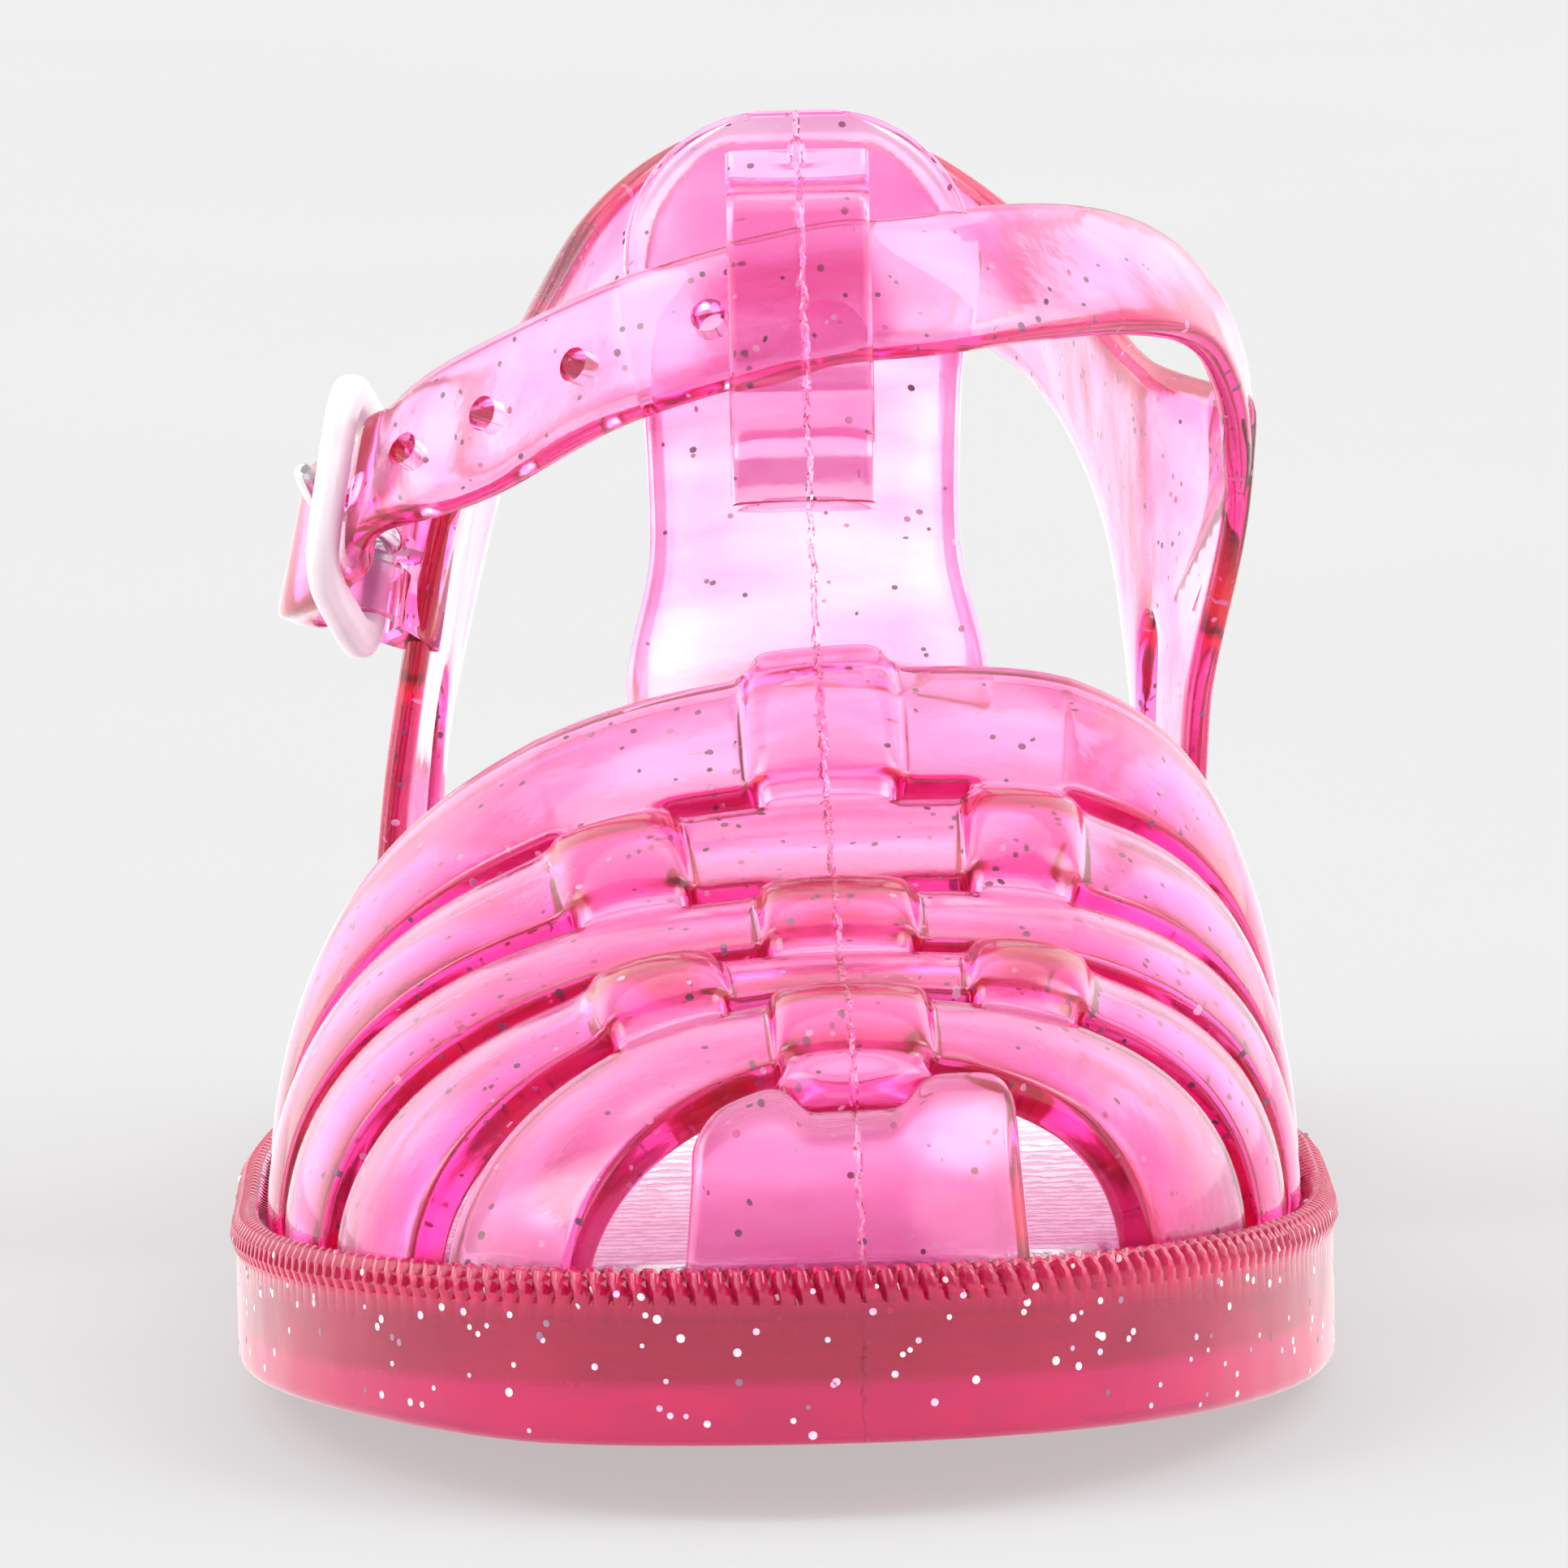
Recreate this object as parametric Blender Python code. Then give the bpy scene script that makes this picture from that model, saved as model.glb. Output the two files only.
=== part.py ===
"""Moulded jelly sandal for a child's right foot.

Millimetres are used for every size here and turned into metres when a mesh is made.
The toe points to -Y, the inner side of the foot is at +X, and the floor is at z = 0.
"back" is the distance behind the toe tip, "up" the height over the floor.
"""
import math

import bmesh
import bpy
import numpy as np

# Driving sizes
MM = 0.001
LENGTH = 186.0
TOE_LIFT = 4.2
TOE_LIFT_LENGTH = 62.0
TOE_LIFT_POWER = 1.15
HEEL_LIFT = 3.5
HEEL_LIFT_START, HEEL_LIFT_END = 92.0, 150.0
ARCH_LIFT = 2.4
ARCH_START, ARCH_END = 88.0, 128.0
GAP = 0.3

# Sole outline: half breadths from the middle line, before the round toe and heel are cut
# Columns: back, outer, inner
OUTLINE = np.array([
    (0.0, 37.2, 37.2),
    (58.0, 37.2, 37.2),
    (76.0, 37.3, 36.9),
    (92.0, 36.2, 34.4),
    (112.0, 32.2, 31.6),
    (130.0, 29.8, 30.2),
    (150.0, 27.8, 29.2),
    (186.0, 26.2, 28.6),
])
TOE_ROUND, TOE_POWER, TOE_X = 58.0, 2.2, 0.8
HEEL_ROUND, HEEL_POWER, HEEL_X = 32.0, 2.2, 1.4

# Levels at the ball of the foot
GROOVE_UP = 8.6
MARGIN_THICK = 1.3
MARGIN_UP = GROOVE_UP + GAP
PLATEAU_UP = MARGIN_UP + MARGIN_THICK
INSOLE_UP = PLATEAU_UP + GAP
INSOLE_THICK = 1.2
RIM_LOW_UP, RIM_TOP_UP = 10.6, 12.0
RIM_WIDTH = 1.5
RIB_DEPTH = 0.5
RIB_PITCH = 3.0
POINTS_PER_EDGE = 4
BOTTOM_ROUND = 1.0
FLAT_INSET = 6.5
EDGE_LIFT, OUTER_EDGE_LIFT = 0.45, 1.1
OUTER_EDGE_START, OUTER_EDGE_END = 14.0, 34.0
OUTER_EDGE_FADE_START, OUTER_EDGE_FADE_END = 62.0, 95.0

# Insets from the sole's edge
FOOT_INSET = RIM_WIDTH + GAP
MARGIN_INNER = 8.2
PLATEAU_INSET = MARGIN_INNER + GAP

# Upper walls
WALL = 2.5
STRAP_EDGE, STRAP_CROWN = 1.8, 2.6
QUARTER_INSET = 1.4
INSOLE_INSET = FOOT_INSET + QUARTER_INSET + STRAP_CROWN + GAP + 0.9

# Toe cage: one row for each strap edge, from the toe back. The ridge is the arch's highest line.
# Columns: ridge back, ridge up, outer foot back, inner foot back, ridge x, outer power, inner power
CAGE = np.array([
    (13.0, 28.6, 5.8, 15.0, 4.7, 2.10, 2.35),
    (23.0, 31.0, 13.0, 29.0, 4.8, 2.15, 2.40),
    (24.7, 31.3, 16.0, 31.5, 5.0, 2.20, 2.45),
    (33.0, 32.6, 26.5, 41.5, 5.5, 2.25, 2.55),
    (34.8, 33.0, 29.0, 44.0, 6.0, 2.35, 2.60),
    (43.4, 35.2, 41.0, 53.5, 7.0, 2.40, 2.70),
    (45.2, 35.8, 44.0, 56.0, 7.4, 2.42, 2.75),
    (54.5, 39.9, 57.5, 66.0, 8.6, 2.42, 2.82),
    (56.3, 40.8, 61.0, 70.0, 9.0, 2.42, 2.85),
    (67.5, 47.4, 74.0, 80.0, 10.0, 2.42, 2.90),
])
LIP_LENGTH, TAIL_LENGTH = 3.2, 2.2
STRAP_COUNT = len(CAGE) // 2
FOOT_SWEEP = 2.5
STRAP_STATIONS = (0.0, 0.1, 0.5, 0.9, 1.0)
STEP = 0.35
ARCH_STEPS = 7

# Lengthwise strips of the weave
# Columns: x at the toe, x at the throat, half width, straps passed over as counted from the toe
STRIPS = (
    (-6.1, -12.3, 3.9, (1, 3)),
    (4.8, 3.2, 4.9, (0, 2, 4)),
    (16.4, 16.7, 3.6, (1, 3)),
)
STRIP_TOE_BACK, STRIP_THROAT_BACK = 14.0, 64.0
STRIP_RAISE, STRIP_END_RAISE = 1.7, 0.9
BRIDGE_HIGH, BRIDGE_LOW = 2.6, 1.3

# Toe tab
TAB_X, TAB_HALF = 4.8, 11.8
TAB_THICK = 2.3
TAB_TOP_OUTER, TAB_TOP_MIDDLE, TAB_TOP_INNER = 25.2, 28.0, 27.4
TAB_LEAN, TAB_LEAN_POWER = 8.2, 2.2
TAB_NOTCH_HALF, TAB_NOTCH_DEPTH = 4.4, 2.0
TAB_COLUMNS_COUNT, TAB_ROWS_COUNT = 12, 4

# Tongue: middle line of the plate, with its half width
TONGUE_X = 2.4
# Columns: back, up, half width
TONGUE = np.array([
    (60.5, 38.8, 11.4),
    (70.0, 46.6, 12.6),
    (78.0, 54.8, 10.7),
    (85.5, 64.4, 11.1),
    (90.5, 73.2, 12.3),
    (93.6, 80.2, 9.2),
    (94.4, 82.4, 4.4),
])
TONGUE_THICK = 2.0
TONGUE_SAG = 2.6
TONGUE_ROWS, TONGUE_CROSS = 13, 6

# Loop on the tongue for the ankle strap: place along the tongue and height over its face
LOOP_HALF = 5.0
LOOP_THICK = 1.5
# Columns: up, height over the face
LOOP = np.array([
    (56.5, 0.2),
    (60.0, 0.3),
    (61.8, 1.6),
    (63.6, 3.1),
    (70.0, 3.4),
    (74.4, 3.1),
    (76.2, 1.6),
    (77.6, 0.3),
    (79.6, 0.2),
])

# Heel part: a row for each place around the heel, with the sole edge it stands over and its top
# Columns: side, base back, top x, top back, top up, curl, base inset
HEEL = np.array([
    (-1, 109.0, -23.2, 112.5, 56.0, 2.2, QUARTER_INSET),
    (-1, 128.0, -21.6, 131.0, 59.0, 2.2, 0.5),
    (-1, 147.0, -17.6, 149.0, 64.0, 2.2, 0.0),
    (-1, 166.0, -13.0, 165.0, 70.0, 2.2, 0.2),
    (-1, 179.0, -5.6, 174.6, 74.2, 2.0, 0.4),
    (1, 183.0, 2.0, 176.8, 75.2, 2.0, 0.4),
    (1, 179.0, 10.4, 174.2, 73.8, 2.0, 0.4),
    (1, 166.0, 18.6, 165.4, 69.4, 1.9, 0.2),
    (1, 147.0, 24.6, 148.0, 64.2, 1.7, 0.0),
    (1, 130.0, 29.0, 131.0, 60.6, 1.5, 0.0),
    (1, 112.0, 33.4, 117.4, 59.6, 1.4, 0.0),
])
SLOT_OUTER, SLOT_INNER = (127.0, 134.0, 39.0), (125.0, 132.0, 42.0)
WINDOW_OUTER_BACK, WINDOW_INNER_BACK = 141.0, 137.0
WINDOW_TOP, WINDOW_SIDE = 60.5, 7.0
WINDOW_OUTER_POWER, WINDOW_INNER_POWER = 3.0, 1.9
CUP_TOP = 26.0
SLOT_ROUND = 2.6
PILLAR_STEPS, SLOT_STEPS, POST_STEPS, WINDOW_STEPS = 3, 4, 1, 14
CUP_ROWS, OPEN_ROWS, COLLAR_ROWS = 2, 4, 3

# Buckle frame: an oval ring around its own middle, with the strap's run as its first axis
BUCKLE_X, BUCKLE_BACK, BUCKLE_UP = -29.3, 107.0, 53.3
BUCKLE_RUN = np.array((0.223, 0.80, -0.554))
BUCKLE_RISE = np.array((0.139, 0.536, 0.833))
BUCKLE_REACH, BUCKLE_HALF_HEIGHT = 6.4, 7.6
BUCKLE_POWER = 5.0
BAR_WIDE, BAR_THICK = 2.9, 2.1
BUCKLE_STEPS, BAR_SIDES = 28, 6
PRONG_RADIUS = 0.75
# Columns: run, out, radius
PRONG = np.array([
    (-7.4, 1.75, 0.40),
    (-6.9, 1.95, 0.65),
    (-5.8, 2.05, 0.75),
    (-2.9, 2.05, 0.75),
    (-1.3, 1.20, 0.75),
    (0.4, -0.50, 0.75),
    (1.9, -1.50, 0.75),
    (3.3, -1.75, 0.75),
])
PRONG_RING = BAR_WIDE / 2 + GAP + PRONG_RADIUS
PRONG_RISE = 0.0
KEEPER_HALF, KEEPER_SLOT_HALF, KEEPER_SLOT_END = 5.2, 1.3, 10.2
KEEPER_RADIUS, KEEPER_BORE = 2.95, BAR_WIDE / 2 + GAP
KEEPER_END_RUN, KEEPER_END_OUT, KEEPER_END_HALF = 12.6, -3.5, 1.1
KEEPER_SIDES = 16

# Ankle strap: a row for each place along it, from the inner quarter over the tongue
# Columns: x, back, up, facing in degrees from the toe to the inner side, tilt in degrees, half width
STRAP = np.array([
    (31.6, 121.8, 44.0, 88.0, -8.0, 4.4),
    (33.3, 121.8, 52.0, 88.0, -4.0, 5.4),
    (33.3, 119.3, 59.4, 84.0, 10.0, 5.5),
    (31.3, 113.9, 65.0, 74.0, 30.0, 5.5),
    (28.4, 108.2, 68.4, 62.0, 40.0, 5.3),
    (24.0, 100.9, 70.3, 46.0, 40.0, 5.3),
    (18.0, 93.6, 71.0, 26.0, 38.0, 5.4),
    (10.6, 88.2, 70.6, 10.0, 37.0, 5.4),
    (2.6, 86.2, 69.9, 0.0, 37.0, 5.4),
    (-9.6, 88.0, 66.6, -14.0, 34.0, 5.4),
    (-19.6, 95.6, 61.2, -38.0, 22.0, 5.5),
])
# Its end in the buckle's own axes: along the run, up the rise, out from the foot
# Columns: run, rise, out, half width
STRAP_END = np.array([
    (-6.6, 0.0, -3.50, 5.5),
    (-1.6, 0.0, -0.90, 5.5),
    (2.4, 0.2, 2.60, 5.5),
    (6.6, 1.4, 5.60, 5.5),
    (11.0, 3.2, 7.20, 5.5),
    (15.6, 5.2, 8.20, 5.5),
    (20.0, 7.0, 8.20, 5.2),
    (23.4, 8.2, 7.60, 3.2),
])
STRAP_THICK = 2.3
STRAP_ROUND = 0.7
STRAP_STEPS = 48
HOLE_RADIUS = 1.25
HOLE_SIDES = 8
HOLE_ROWS = (8.52, 9.28, 9.95, 10.62)
PRONG_HOLE = (-2.7, 2.0, 1.1)

# Tread: shallow bars across the forefoot and the heel
TREAD_STARTS = (66.0, 73.0, 80.0, 138.0, 146.0, 154.0, 162.0)
TREAD_WIDE, TREAD_DEEP, TREAD_INSET = 2.4, 1.1, 9.0

# Materials: base colour, roughness, metallic
JELLY_PINK = ((0.86, 0.20, 0.48), 0.12, 0.0)
SOLE_CRIMSON = ((0.62, 0.06, 0.17), 0.15, 0.0)
FOOTBED_PINK = ((0.88, 0.48, 0.60), 0.45, 0.0)
BUCKLE_WHITE = ((0.86, 0.74, 0.80), 0.30, 0.0)
PRONG_STEEL = ((0.75, 0.74, 0.72), 0.22, 1.0)


def slopes(x, y):
    """Slopes of a curve through points that never overshoots them."""
    h = np.diff(x)
    d = np.diff(y) / h
    m = np.empty_like(y)
    m[0], m[-1] = d[0], d[-1]
    same = d[:-1] * d[1:] > 0
    weight = np.where(same, d[:-1] * d[1:], 0.0)
    total = np.where(same, d[:-1] + d[1:], 1.0)
    m[1:-1] = 2 * weight / total
    return m


def curve(x, y, at):
    """Smooth value at the given places of a curve through (x, y)."""
    x, y, at = np.asarray(x, float), np.asarray(y, float), np.asarray(at, float)
    m = slopes(x, y)
    i = np.clip(np.searchsorted(x, at, side="right") - 1, 0, len(x) - 2)
    h = x[i + 1] - x[i]
    t = np.clip((at - x[i]) / h, 0.0, 1.0)
    a = (1 + 2 * t) * (1 - t) ** 2
    b = t * (1 - t) ** 2
    c = t * t * (3 - 2 * t)
    d = t * t * (t - 1)
    return a * y[i] + b * h * m[i] + c * y[i + 1] + d * h * m[i + 1]


def table(rows, at):
    """All columns of a table at fractional row numbers."""
    places = np.arange(len(rows))
    return np.stack([curve(places, rows[:, k], at) for k in range(rows.shape[1])], axis=-1)


def smooth(t):
    t = np.clip(t, 0.0, 1.0)
    return t * t * (3 - 2 * t)


def unit(v):
    v = np.asarray(v, float)
    return v / np.linalg.norm(v, axis=-1, keepdims=True)


def toe_lift(back):
    return TOE_LIFT * np.clip(1 - np.asarray(back) / TOE_LIFT_LENGTH, 0, 1) ** TOE_LIFT_POWER


def top_lift(back):
    """How far the sole's top lies over its level at the ball."""
    heel = smooth((np.asarray(back) - HEEL_LIFT_START) / (HEEL_LIFT_END - HEEL_LIFT_START))
    return toe_lift(back) + HEEL_LIFT * heel


def bottom_lift(back):
    t = np.clip((np.asarray(back) - ARCH_START) / (ARCH_END - ARCH_START), 0, 1)
    return toe_lift(back) + ARCH_LIFT * np.sin(math.pi * t) ** 2


def edge_lift(x, back):
    """How far the bottom's edge stays over the floor, most at the outer side of the toe."""
    outer = smooth((-x - OUTER_EDGE_START) / (OUTER_EDGE_END - OUTER_EDGE_START))
    fade = 1 - smooth((back - OUTER_EDGE_FADE_START) / (OUTER_EDGE_FADE_END - OUTER_EDGE_FADE_START))
    return EDGE_LIFT + OUTER_EDGE_LIFT * outer * fade


def edge_x(side, back):
    """Sole edge at a distance behind the toe tip, on the outer (-1) or inner (+1) side."""
    breadth = curve(OUTLINE[:, 0], OUTLINE[:, 1 if side < 0 else 2], back)
    toe = np.clip(1 - back / TOE_ROUND, 0, 1)
    heel = np.clip(1 - (LENGTH - back) / HEEL_ROUND, 0, 1)
    toe_share = np.maximum(1 - toe ** TOE_POWER, 0) ** (1 / TOE_POWER)
    heel_share = np.maximum(1 - heel ** HEEL_POWER, 0) ** (1 / HEEL_POWER)
    x = TOE_X * toe ** 2 + HEEL_X * heel ** 2
    return x + (side * breadth - x) * toe_share * heel_share


def fine_outline(inset):
    """Closed outline moved in from the sole's edge, outer side first, as (x, back)."""
    t = np.linspace(0, math.pi, 400)
    back = LENGTH * (1 - np.cos(t)) / 2
    outer = np.column_stack([edge_x(-1, back), back])
    inner = np.column_stack([edge_x(1, back), back])[-2:0:-1]
    loop = np.vstack([outer, inner])
    along = unit(np.roll(loop, -1, axis=0) - np.roll(loop, 1, axis=0))
    inward = np.column_stack([along[:, 1], -along[:, 0]])
    return loop + inset * inward


def outline(count, inset):
    """Points at even distances along the moved-in outline, the first at the toe tip."""
    loop = fine_outline(inset)
    closed = np.vstack([loop, loop[:1]])
    run = np.concatenate([[0], np.cumsum(np.linalg.norm(np.diff(closed, axis=0), axis=1))])
    at = np.linspace(0, run[-1], count, endpoint=False)
    return np.column_stack([np.interp(at, run, closed[:, k]) for k in range(2)])


def side_points(side, inset):
    """The moved-in outline of one side, in order from toe to heel."""
    loop = fine_outline(inset)
    half = len(loop) // 2
    run = loop[: half + 1] if side < 0 else np.vstack([loop[:1], loop[:half - 1:-1]])
    return run[np.argsort(run[:, 1])]


def inset_x(side, back, inset):
    """x of the moved-in outline on one side at a distance behind the toe tip."""
    run = side_points(side, inset)
    return np.interp(back, run[:, 1], run[:, 0])


def place(x, back, up):
    """World points in millimetres from shoe places."""
    x, back, up = np.broadcast_arrays(x, back, up)
    return np.stack([x, back - LENGTH / 2, up], axis=-1).astype(float)


def add_mesh(name, points, faces):
    """A closed mesh object with its faces turned out."""
    mesh = bpy.data.meshes.new(name)
    mesh.from_pydata([tuple(p) for p in np.asarray(points) * MM], [], faces)
    shape = bmesh.new()
    shape.from_mesh(mesh)
    bmesh.ops.recalc_face_normals(shape, faces=shape.faces)
    shape.to_mesh(mesh)
    shape.free()
    thing = bpy.data.objects.new(name, mesh)
    bpy.context.scene.collection.objects.link(thing)
    return thing


def shade(thing, finish, angle=35.0):
    """Gives a piece its own material and smooth round faces."""
    colour, roughness, metallic = finish
    material = bpy.data.materials.new(thing.name + "_material")
    material.use_nodes = True
    shader = material.node_tree.nodes["Principled BSDF"]
    shader.inputs["Base Color"].default_value = (*colour, 1.0)
    shader.inputs["Roughness"].default_value = roughness
    shader.inputs["Metallic"].default_value = metallic
    thing.data.materials.clear()
    thing.data.materials.append(material)
    thing.data.shade_smooth()
    thing.data.set_sharp_from_angle(angle=math.radians(angle))


def combine(target, tool, operation):
    """Joins a tool to the target, or cuts it away, and keeps the tool as a guide."""
    step = target.modifiers.new(tool.name, "BOOLEAN")
    step.operation = operation
    step.solver = "EXACT"
    step.object = tool
    tool.hide_render = True
    tool.display_type = "WIRE"


def shell(name, outer, inner, solid):
    """A wall between two point grids, built only where cells are solid."""
    rows, columns = solid.shape
    points = np.vstack([outer.reshape(-1, 3), inner.reshape(-1, 3)])
    skip = outer.shape[0] * outer.shape[1]

    def out(i, j):
        return i * (columns + 1) + j

    def filled(i, j):
        return 0 <= i < rows and 0 <= j < columns and solid[i, j]

    faces = []
    for i, j in zip(*np.nonzero(solid)):
        ring = (out(i, j), out(i, j + 1), out(i + 1, j + 1), out(i + 1, j))
        faces.append(ring)
        faces.append(tuple(skip + k for k in reversed(ring)))
        beside = ((i - 1, j), (i, j + 1), (i + 1, j), (i, j - 1))
        for k, cell in enumerate(beside):
            if not filled(*cell):
                a, b = ring[k], ring[(k + 1) % 4]
                faces.append((b, a, skip + a, skip + b))
    used = sorted({k for face in faces for k in face})
    order = {k: n for n, k in enumerate(used)}
    return add_mesh(name, points[used], [tuple(order[k] for k in face) for face in faces])


def sweep(name, rings, closed=False):
    """A solid through rings of points, capped at both ends unless it closes on itself."""
    rings = np.asarray(rings)
    count, sides = rings.shape[:2]
    faces = []
    for i in range(count if closed else count - 1):
        for j in range(sides):
            k, n = (i + 1) % count, (j + 1) % sides
            faces.append((i * sides + j, i * sides + n, k * sides + n, k * sides + j))
    if not closed:
        faces.append(tuple(range(sides)))
        faces.append(tuple((count - 1) * sides + j for j in range(sides)))
    return add_mesh(name, rings.reshape(-1, 3), faces)


def ladder(start, count):
    """Faces across a closed loop of points, from its outer side to its inner side."""
    faces = [(start, start + 1, start + count - 1)]
    for i in range(1, count // 2 - 1):
        faces.append((start + i, start + i + 1, start + count - i - 1, start + count - i))
    half = count // 2
    faces.append((start + half - 1, start + half, start + half + 1))
    return faces


def between(first, first_count, second, second_count):
    """Triangles between two closed loops whose point counts divide evenly."""
    ratio = first_count // second_count
    faces = []
    for j in range(second_count):
        after = second + (j + 1) % second_count
        middle = j * ratio + ratio // 2
        for i in range(j * ratio, (j + 1) * ratio):
            a, b = first + i, first + (i + 1) % first_count
            faces.append((a, b, second + j if i < middle else after))
        faces.append((first + middle, after, second + j))
    return faces


def edge_count():
    """Even number of straight edges around the sole, each with two ribs."""
    loop = fine_outline(0.0)
    around = np.linalg.norm(loop - np.roll(loop, 1, axis=0), axis=1).sum()
    return 2 * round(around / RIB_PITCH / POINTS_PER_EDGE)


def make_sole():
    """Sole with a ribbed rim, a groove for the upper's margin, and a middle that carries the footbed."""
    coarse = edge_count()
    fine = POINTS_PER_EDGE * coarse
    flat = outline(coarse, FLAT_INSET)
    bottom = outline(coarse, BOTTOM_ROUND)
    low = outline(coarse, 0.0)
    ribs = outline(fine, 0.0)
    valley = (np.arange(fine) % 2 == 1)[:, None]
    ribbed = np.where(valley, outline(fine, RIB_DEPTH), ribs)
    crest = outline(fine, RIM_WIDTH * 0.5)
    inside = outline(coarse, RIM_WIDTH)
    step_in = outline(coarse, PLATEAU_INSET)

    def ring(points, up):
        return place(points[:, 0], points[:, 1], up)

    loops = [
        ring(flat, bottom_lift(flat[:, 1])),
        ring(bottom, bottom_lift(bottom[:, 1]) + edge_lift(*bottom.T)),
        ring(low, bottom_lift(low[:, 1]) + edge_lift(*low.T) + BOTTOM_ROUND),
        ring(ribs, top_lift(ribs[:, 1]) + RIM_LOW_UP),
        ring(ribbed, top_lift(ribbed[:, 1]) + (RIM_LOW_UP + RIM_TOP_UP) / 2),
        ring(crest, top_lift(crest[:, 1]) + RIM_TOP_UP - RIB_DEPTH * valley[:, 0]),
        ring(inside, top_lift(inside[:, 1]) + RIM_TOP_UP - RIB_DEPTH),
        ring(inside, top_lift(inside[:, 1]) + GROOVE_UP),
        ring(step_in, top_lift(step_in[:, 1]) + GROOVE_UP),
        ring(step_in, top_lift(step_in[:, 1]) + PLATEAU_UP),
    ]
    counts = [len(points) for points in loops]
    starts = np.concatenate([[0], np.cumsum(counts)[:-1]]).tolist()
    faces = ladder(starts[0], counts[0])
    for k in range(len(loops) - 1):
        if counts[k] >= counts[k + 1]:
            faces += between(starts[k], counts[k], starts[k + 1], counts[k + 1])
        else:
            faces += between(starts[k + 1], counts[k + 1], starts[k], counts[k])
    faces += ladder(starts[-1], counts[-1])
    sole = add_mesh("sole", np.vstack(loops), faces)
    combine(sole, make_tread(), "DIFFERENCE")
    shade(sole, SOLE_CRIMSON)
    return sole


def make_tread():
    """Shallow cutters across the sole's bottom."""
    points, faces = [], []
    for start in TREAD_STARTS:
        left = inset_x(-1, start, TREAD_INSET)
        right = inset_x(1, start, TREAD_INSET)
        corner = len(points)
        for up in (-2.0, TREAD_DEEP):
            end = start + TREAD_WIDE
            for x, back in ((left, start), (right, start), (right, end), (left, end)):
                points.append(place(x, back, up))
        faces += [tuple(corner + k for k in face) for face in (
            (0, 1, 2, 3), (4, 5, 6, 7), (0, 1, 5, 4), (1, 2, 6, 5), (2, 3, 7, 6), (3, 0, 4, 7))]
    return add_mesh("tread_cut", np.array(points), faces)


def make_insole():
    """Footbed plate that lies on the sole's middle and the upper's margin."""
    count = 72
    points = outline(count, INSOLE_INSET)
    lift = top_lift(points[:, 1]) + INSOLE_UP
    low = place(points[:, 0], points[:, 1], lift)
    high = place(points[:, 0], points[:, 1], lift + INSOLE_THICK)
    faces = ladder(0, count) + between(0, count, count, count) + ladder(count, count)
    insole = add_mesh("insole", np.vstack([low, high]), faces)
    shade(insole, FOOTBED_PINK)
    return insole


def make_margin():
    """Ring under the footbed that the feet of all straps grow from."""
    count = edge_count()
    rings = []
    section = ((FOOT_INSET, 0), (FOOT_INSET, MARGIN_THICK), (MARGIN_INNER, MARGIN_THICK), (MARGIN_INNER, 0))
    for inset, up in section:
        points = outline(count, inset)
        rings.append(place(points[:, 0], points[:, 1], top_lift(points[:, 1]) + MARGIN_UP + up))
    return sweep("upper", np.stack(rings, axis=1), closed=True)


def cage_point(row, angle):
    """Outer face of the toe cage: angle runs from the outer foot (-90 degrees) over the ridge."""
    ridge_back, ridge_up, outer_foot, inner_foot, ridge_x, outer_power, inner_power = row
    outer_side = angle < 0
    foot = np.where(outer_side, outer_foot, inner_foot)
    foot_x = np.where(outer_side, inset_x(-1, outer_foot, FOOT_INSET), inset_x(1, inner_foot, FOOT_INSET))
    power = np.where(outer_side, outer_power, inner_power)
    base = top_lift(foot) + MARGIN_UP + MARGIN_THICK / 2
    reach = np.abs(np.sin(angle)) ** (2 / power)
    rise = np.maximum(np.cos(angle), 0) ** (2 / power)
    x = ridge_x + (foot_x - ridge_x) * reach
    back = ridge_back + (foot - ridge_back) * np.abs(np.sin(angle)) ** FOOT_SWEEP
    return place(x, back, base + (ridge_up - base) * rise)


def cage_normal(ridge_back, angle):
    """Outward direction of the cage's face, from points a little way around."""
    turn, run = 0.03, 3.0

    def row_at(back):
        return np.array([np.interp(back, CAGE[:, 0], CAGE[:, k]) for k in range(CAGE.shape[1])])

    inside = np.clip(angle, -math.pi / 2 + turn, math.pi / 2 - turn)
    middle = np.clip(ridge_back, CAGE[0, 0] + run, CAGE[-1, 0] - run)
    across = cage_point(row_at(middle), inside + turn) - cage_point(row_at(middle), inside - turn)
    along = cage_point(row_at(middle + run), inside) - cage_point(row_at(middle - run), inside)
    return unit(np.cross(across, along))


def strip_x(strip, back):
    toe, throat = strip[:2]
    return toe + (throat - toe) * (back - STRIP_TOE_BACK) / (STRIP_THROAT_BACK - STRIP_TOE_BACK)


def cage_angle(row, x):
    """Arch angle at which the cage's outer face passes a given x."""
    side = -1 if x < row[4] else 1
    foot_x = inset_x(side, row[2] if side < 0 else row[3], FOOT_INSET)
    power = row[5] if side < 0 else row[6]
    return side * math.asin(min(1.0, abs((x - row[4]) / (foot_x - row[4]))) ** (power / 2))


def cage_angles(row, arch_steps, strip_steps, space_steps):
    """Arch angles of one grid row, with pairs of close lines at the sides of each strip."""
    marks = []
    for strip in STRIPS:
        middle, half = strip_x(strip, row[0]), strip[2]
        for x in (middle - half - STEP, middle - half, middle + half, middle + half + STEP):
            marks.append(cage_angle(row, x))
    stops = [-math.pi / 2] + marks + [math.pi / 2]
    steps = [arch_steps] + [1, strip_steps, 1, space_steps] * 2 + [1, strip_steps, 1] + [arch_steps]
    angles = [stops[0]]
    for a, b, n in zip(stops, stops[1:], steps):
        angles += list(np.linspace(a, b, n + 1)[1:])
    return np.array(angles)


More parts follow.
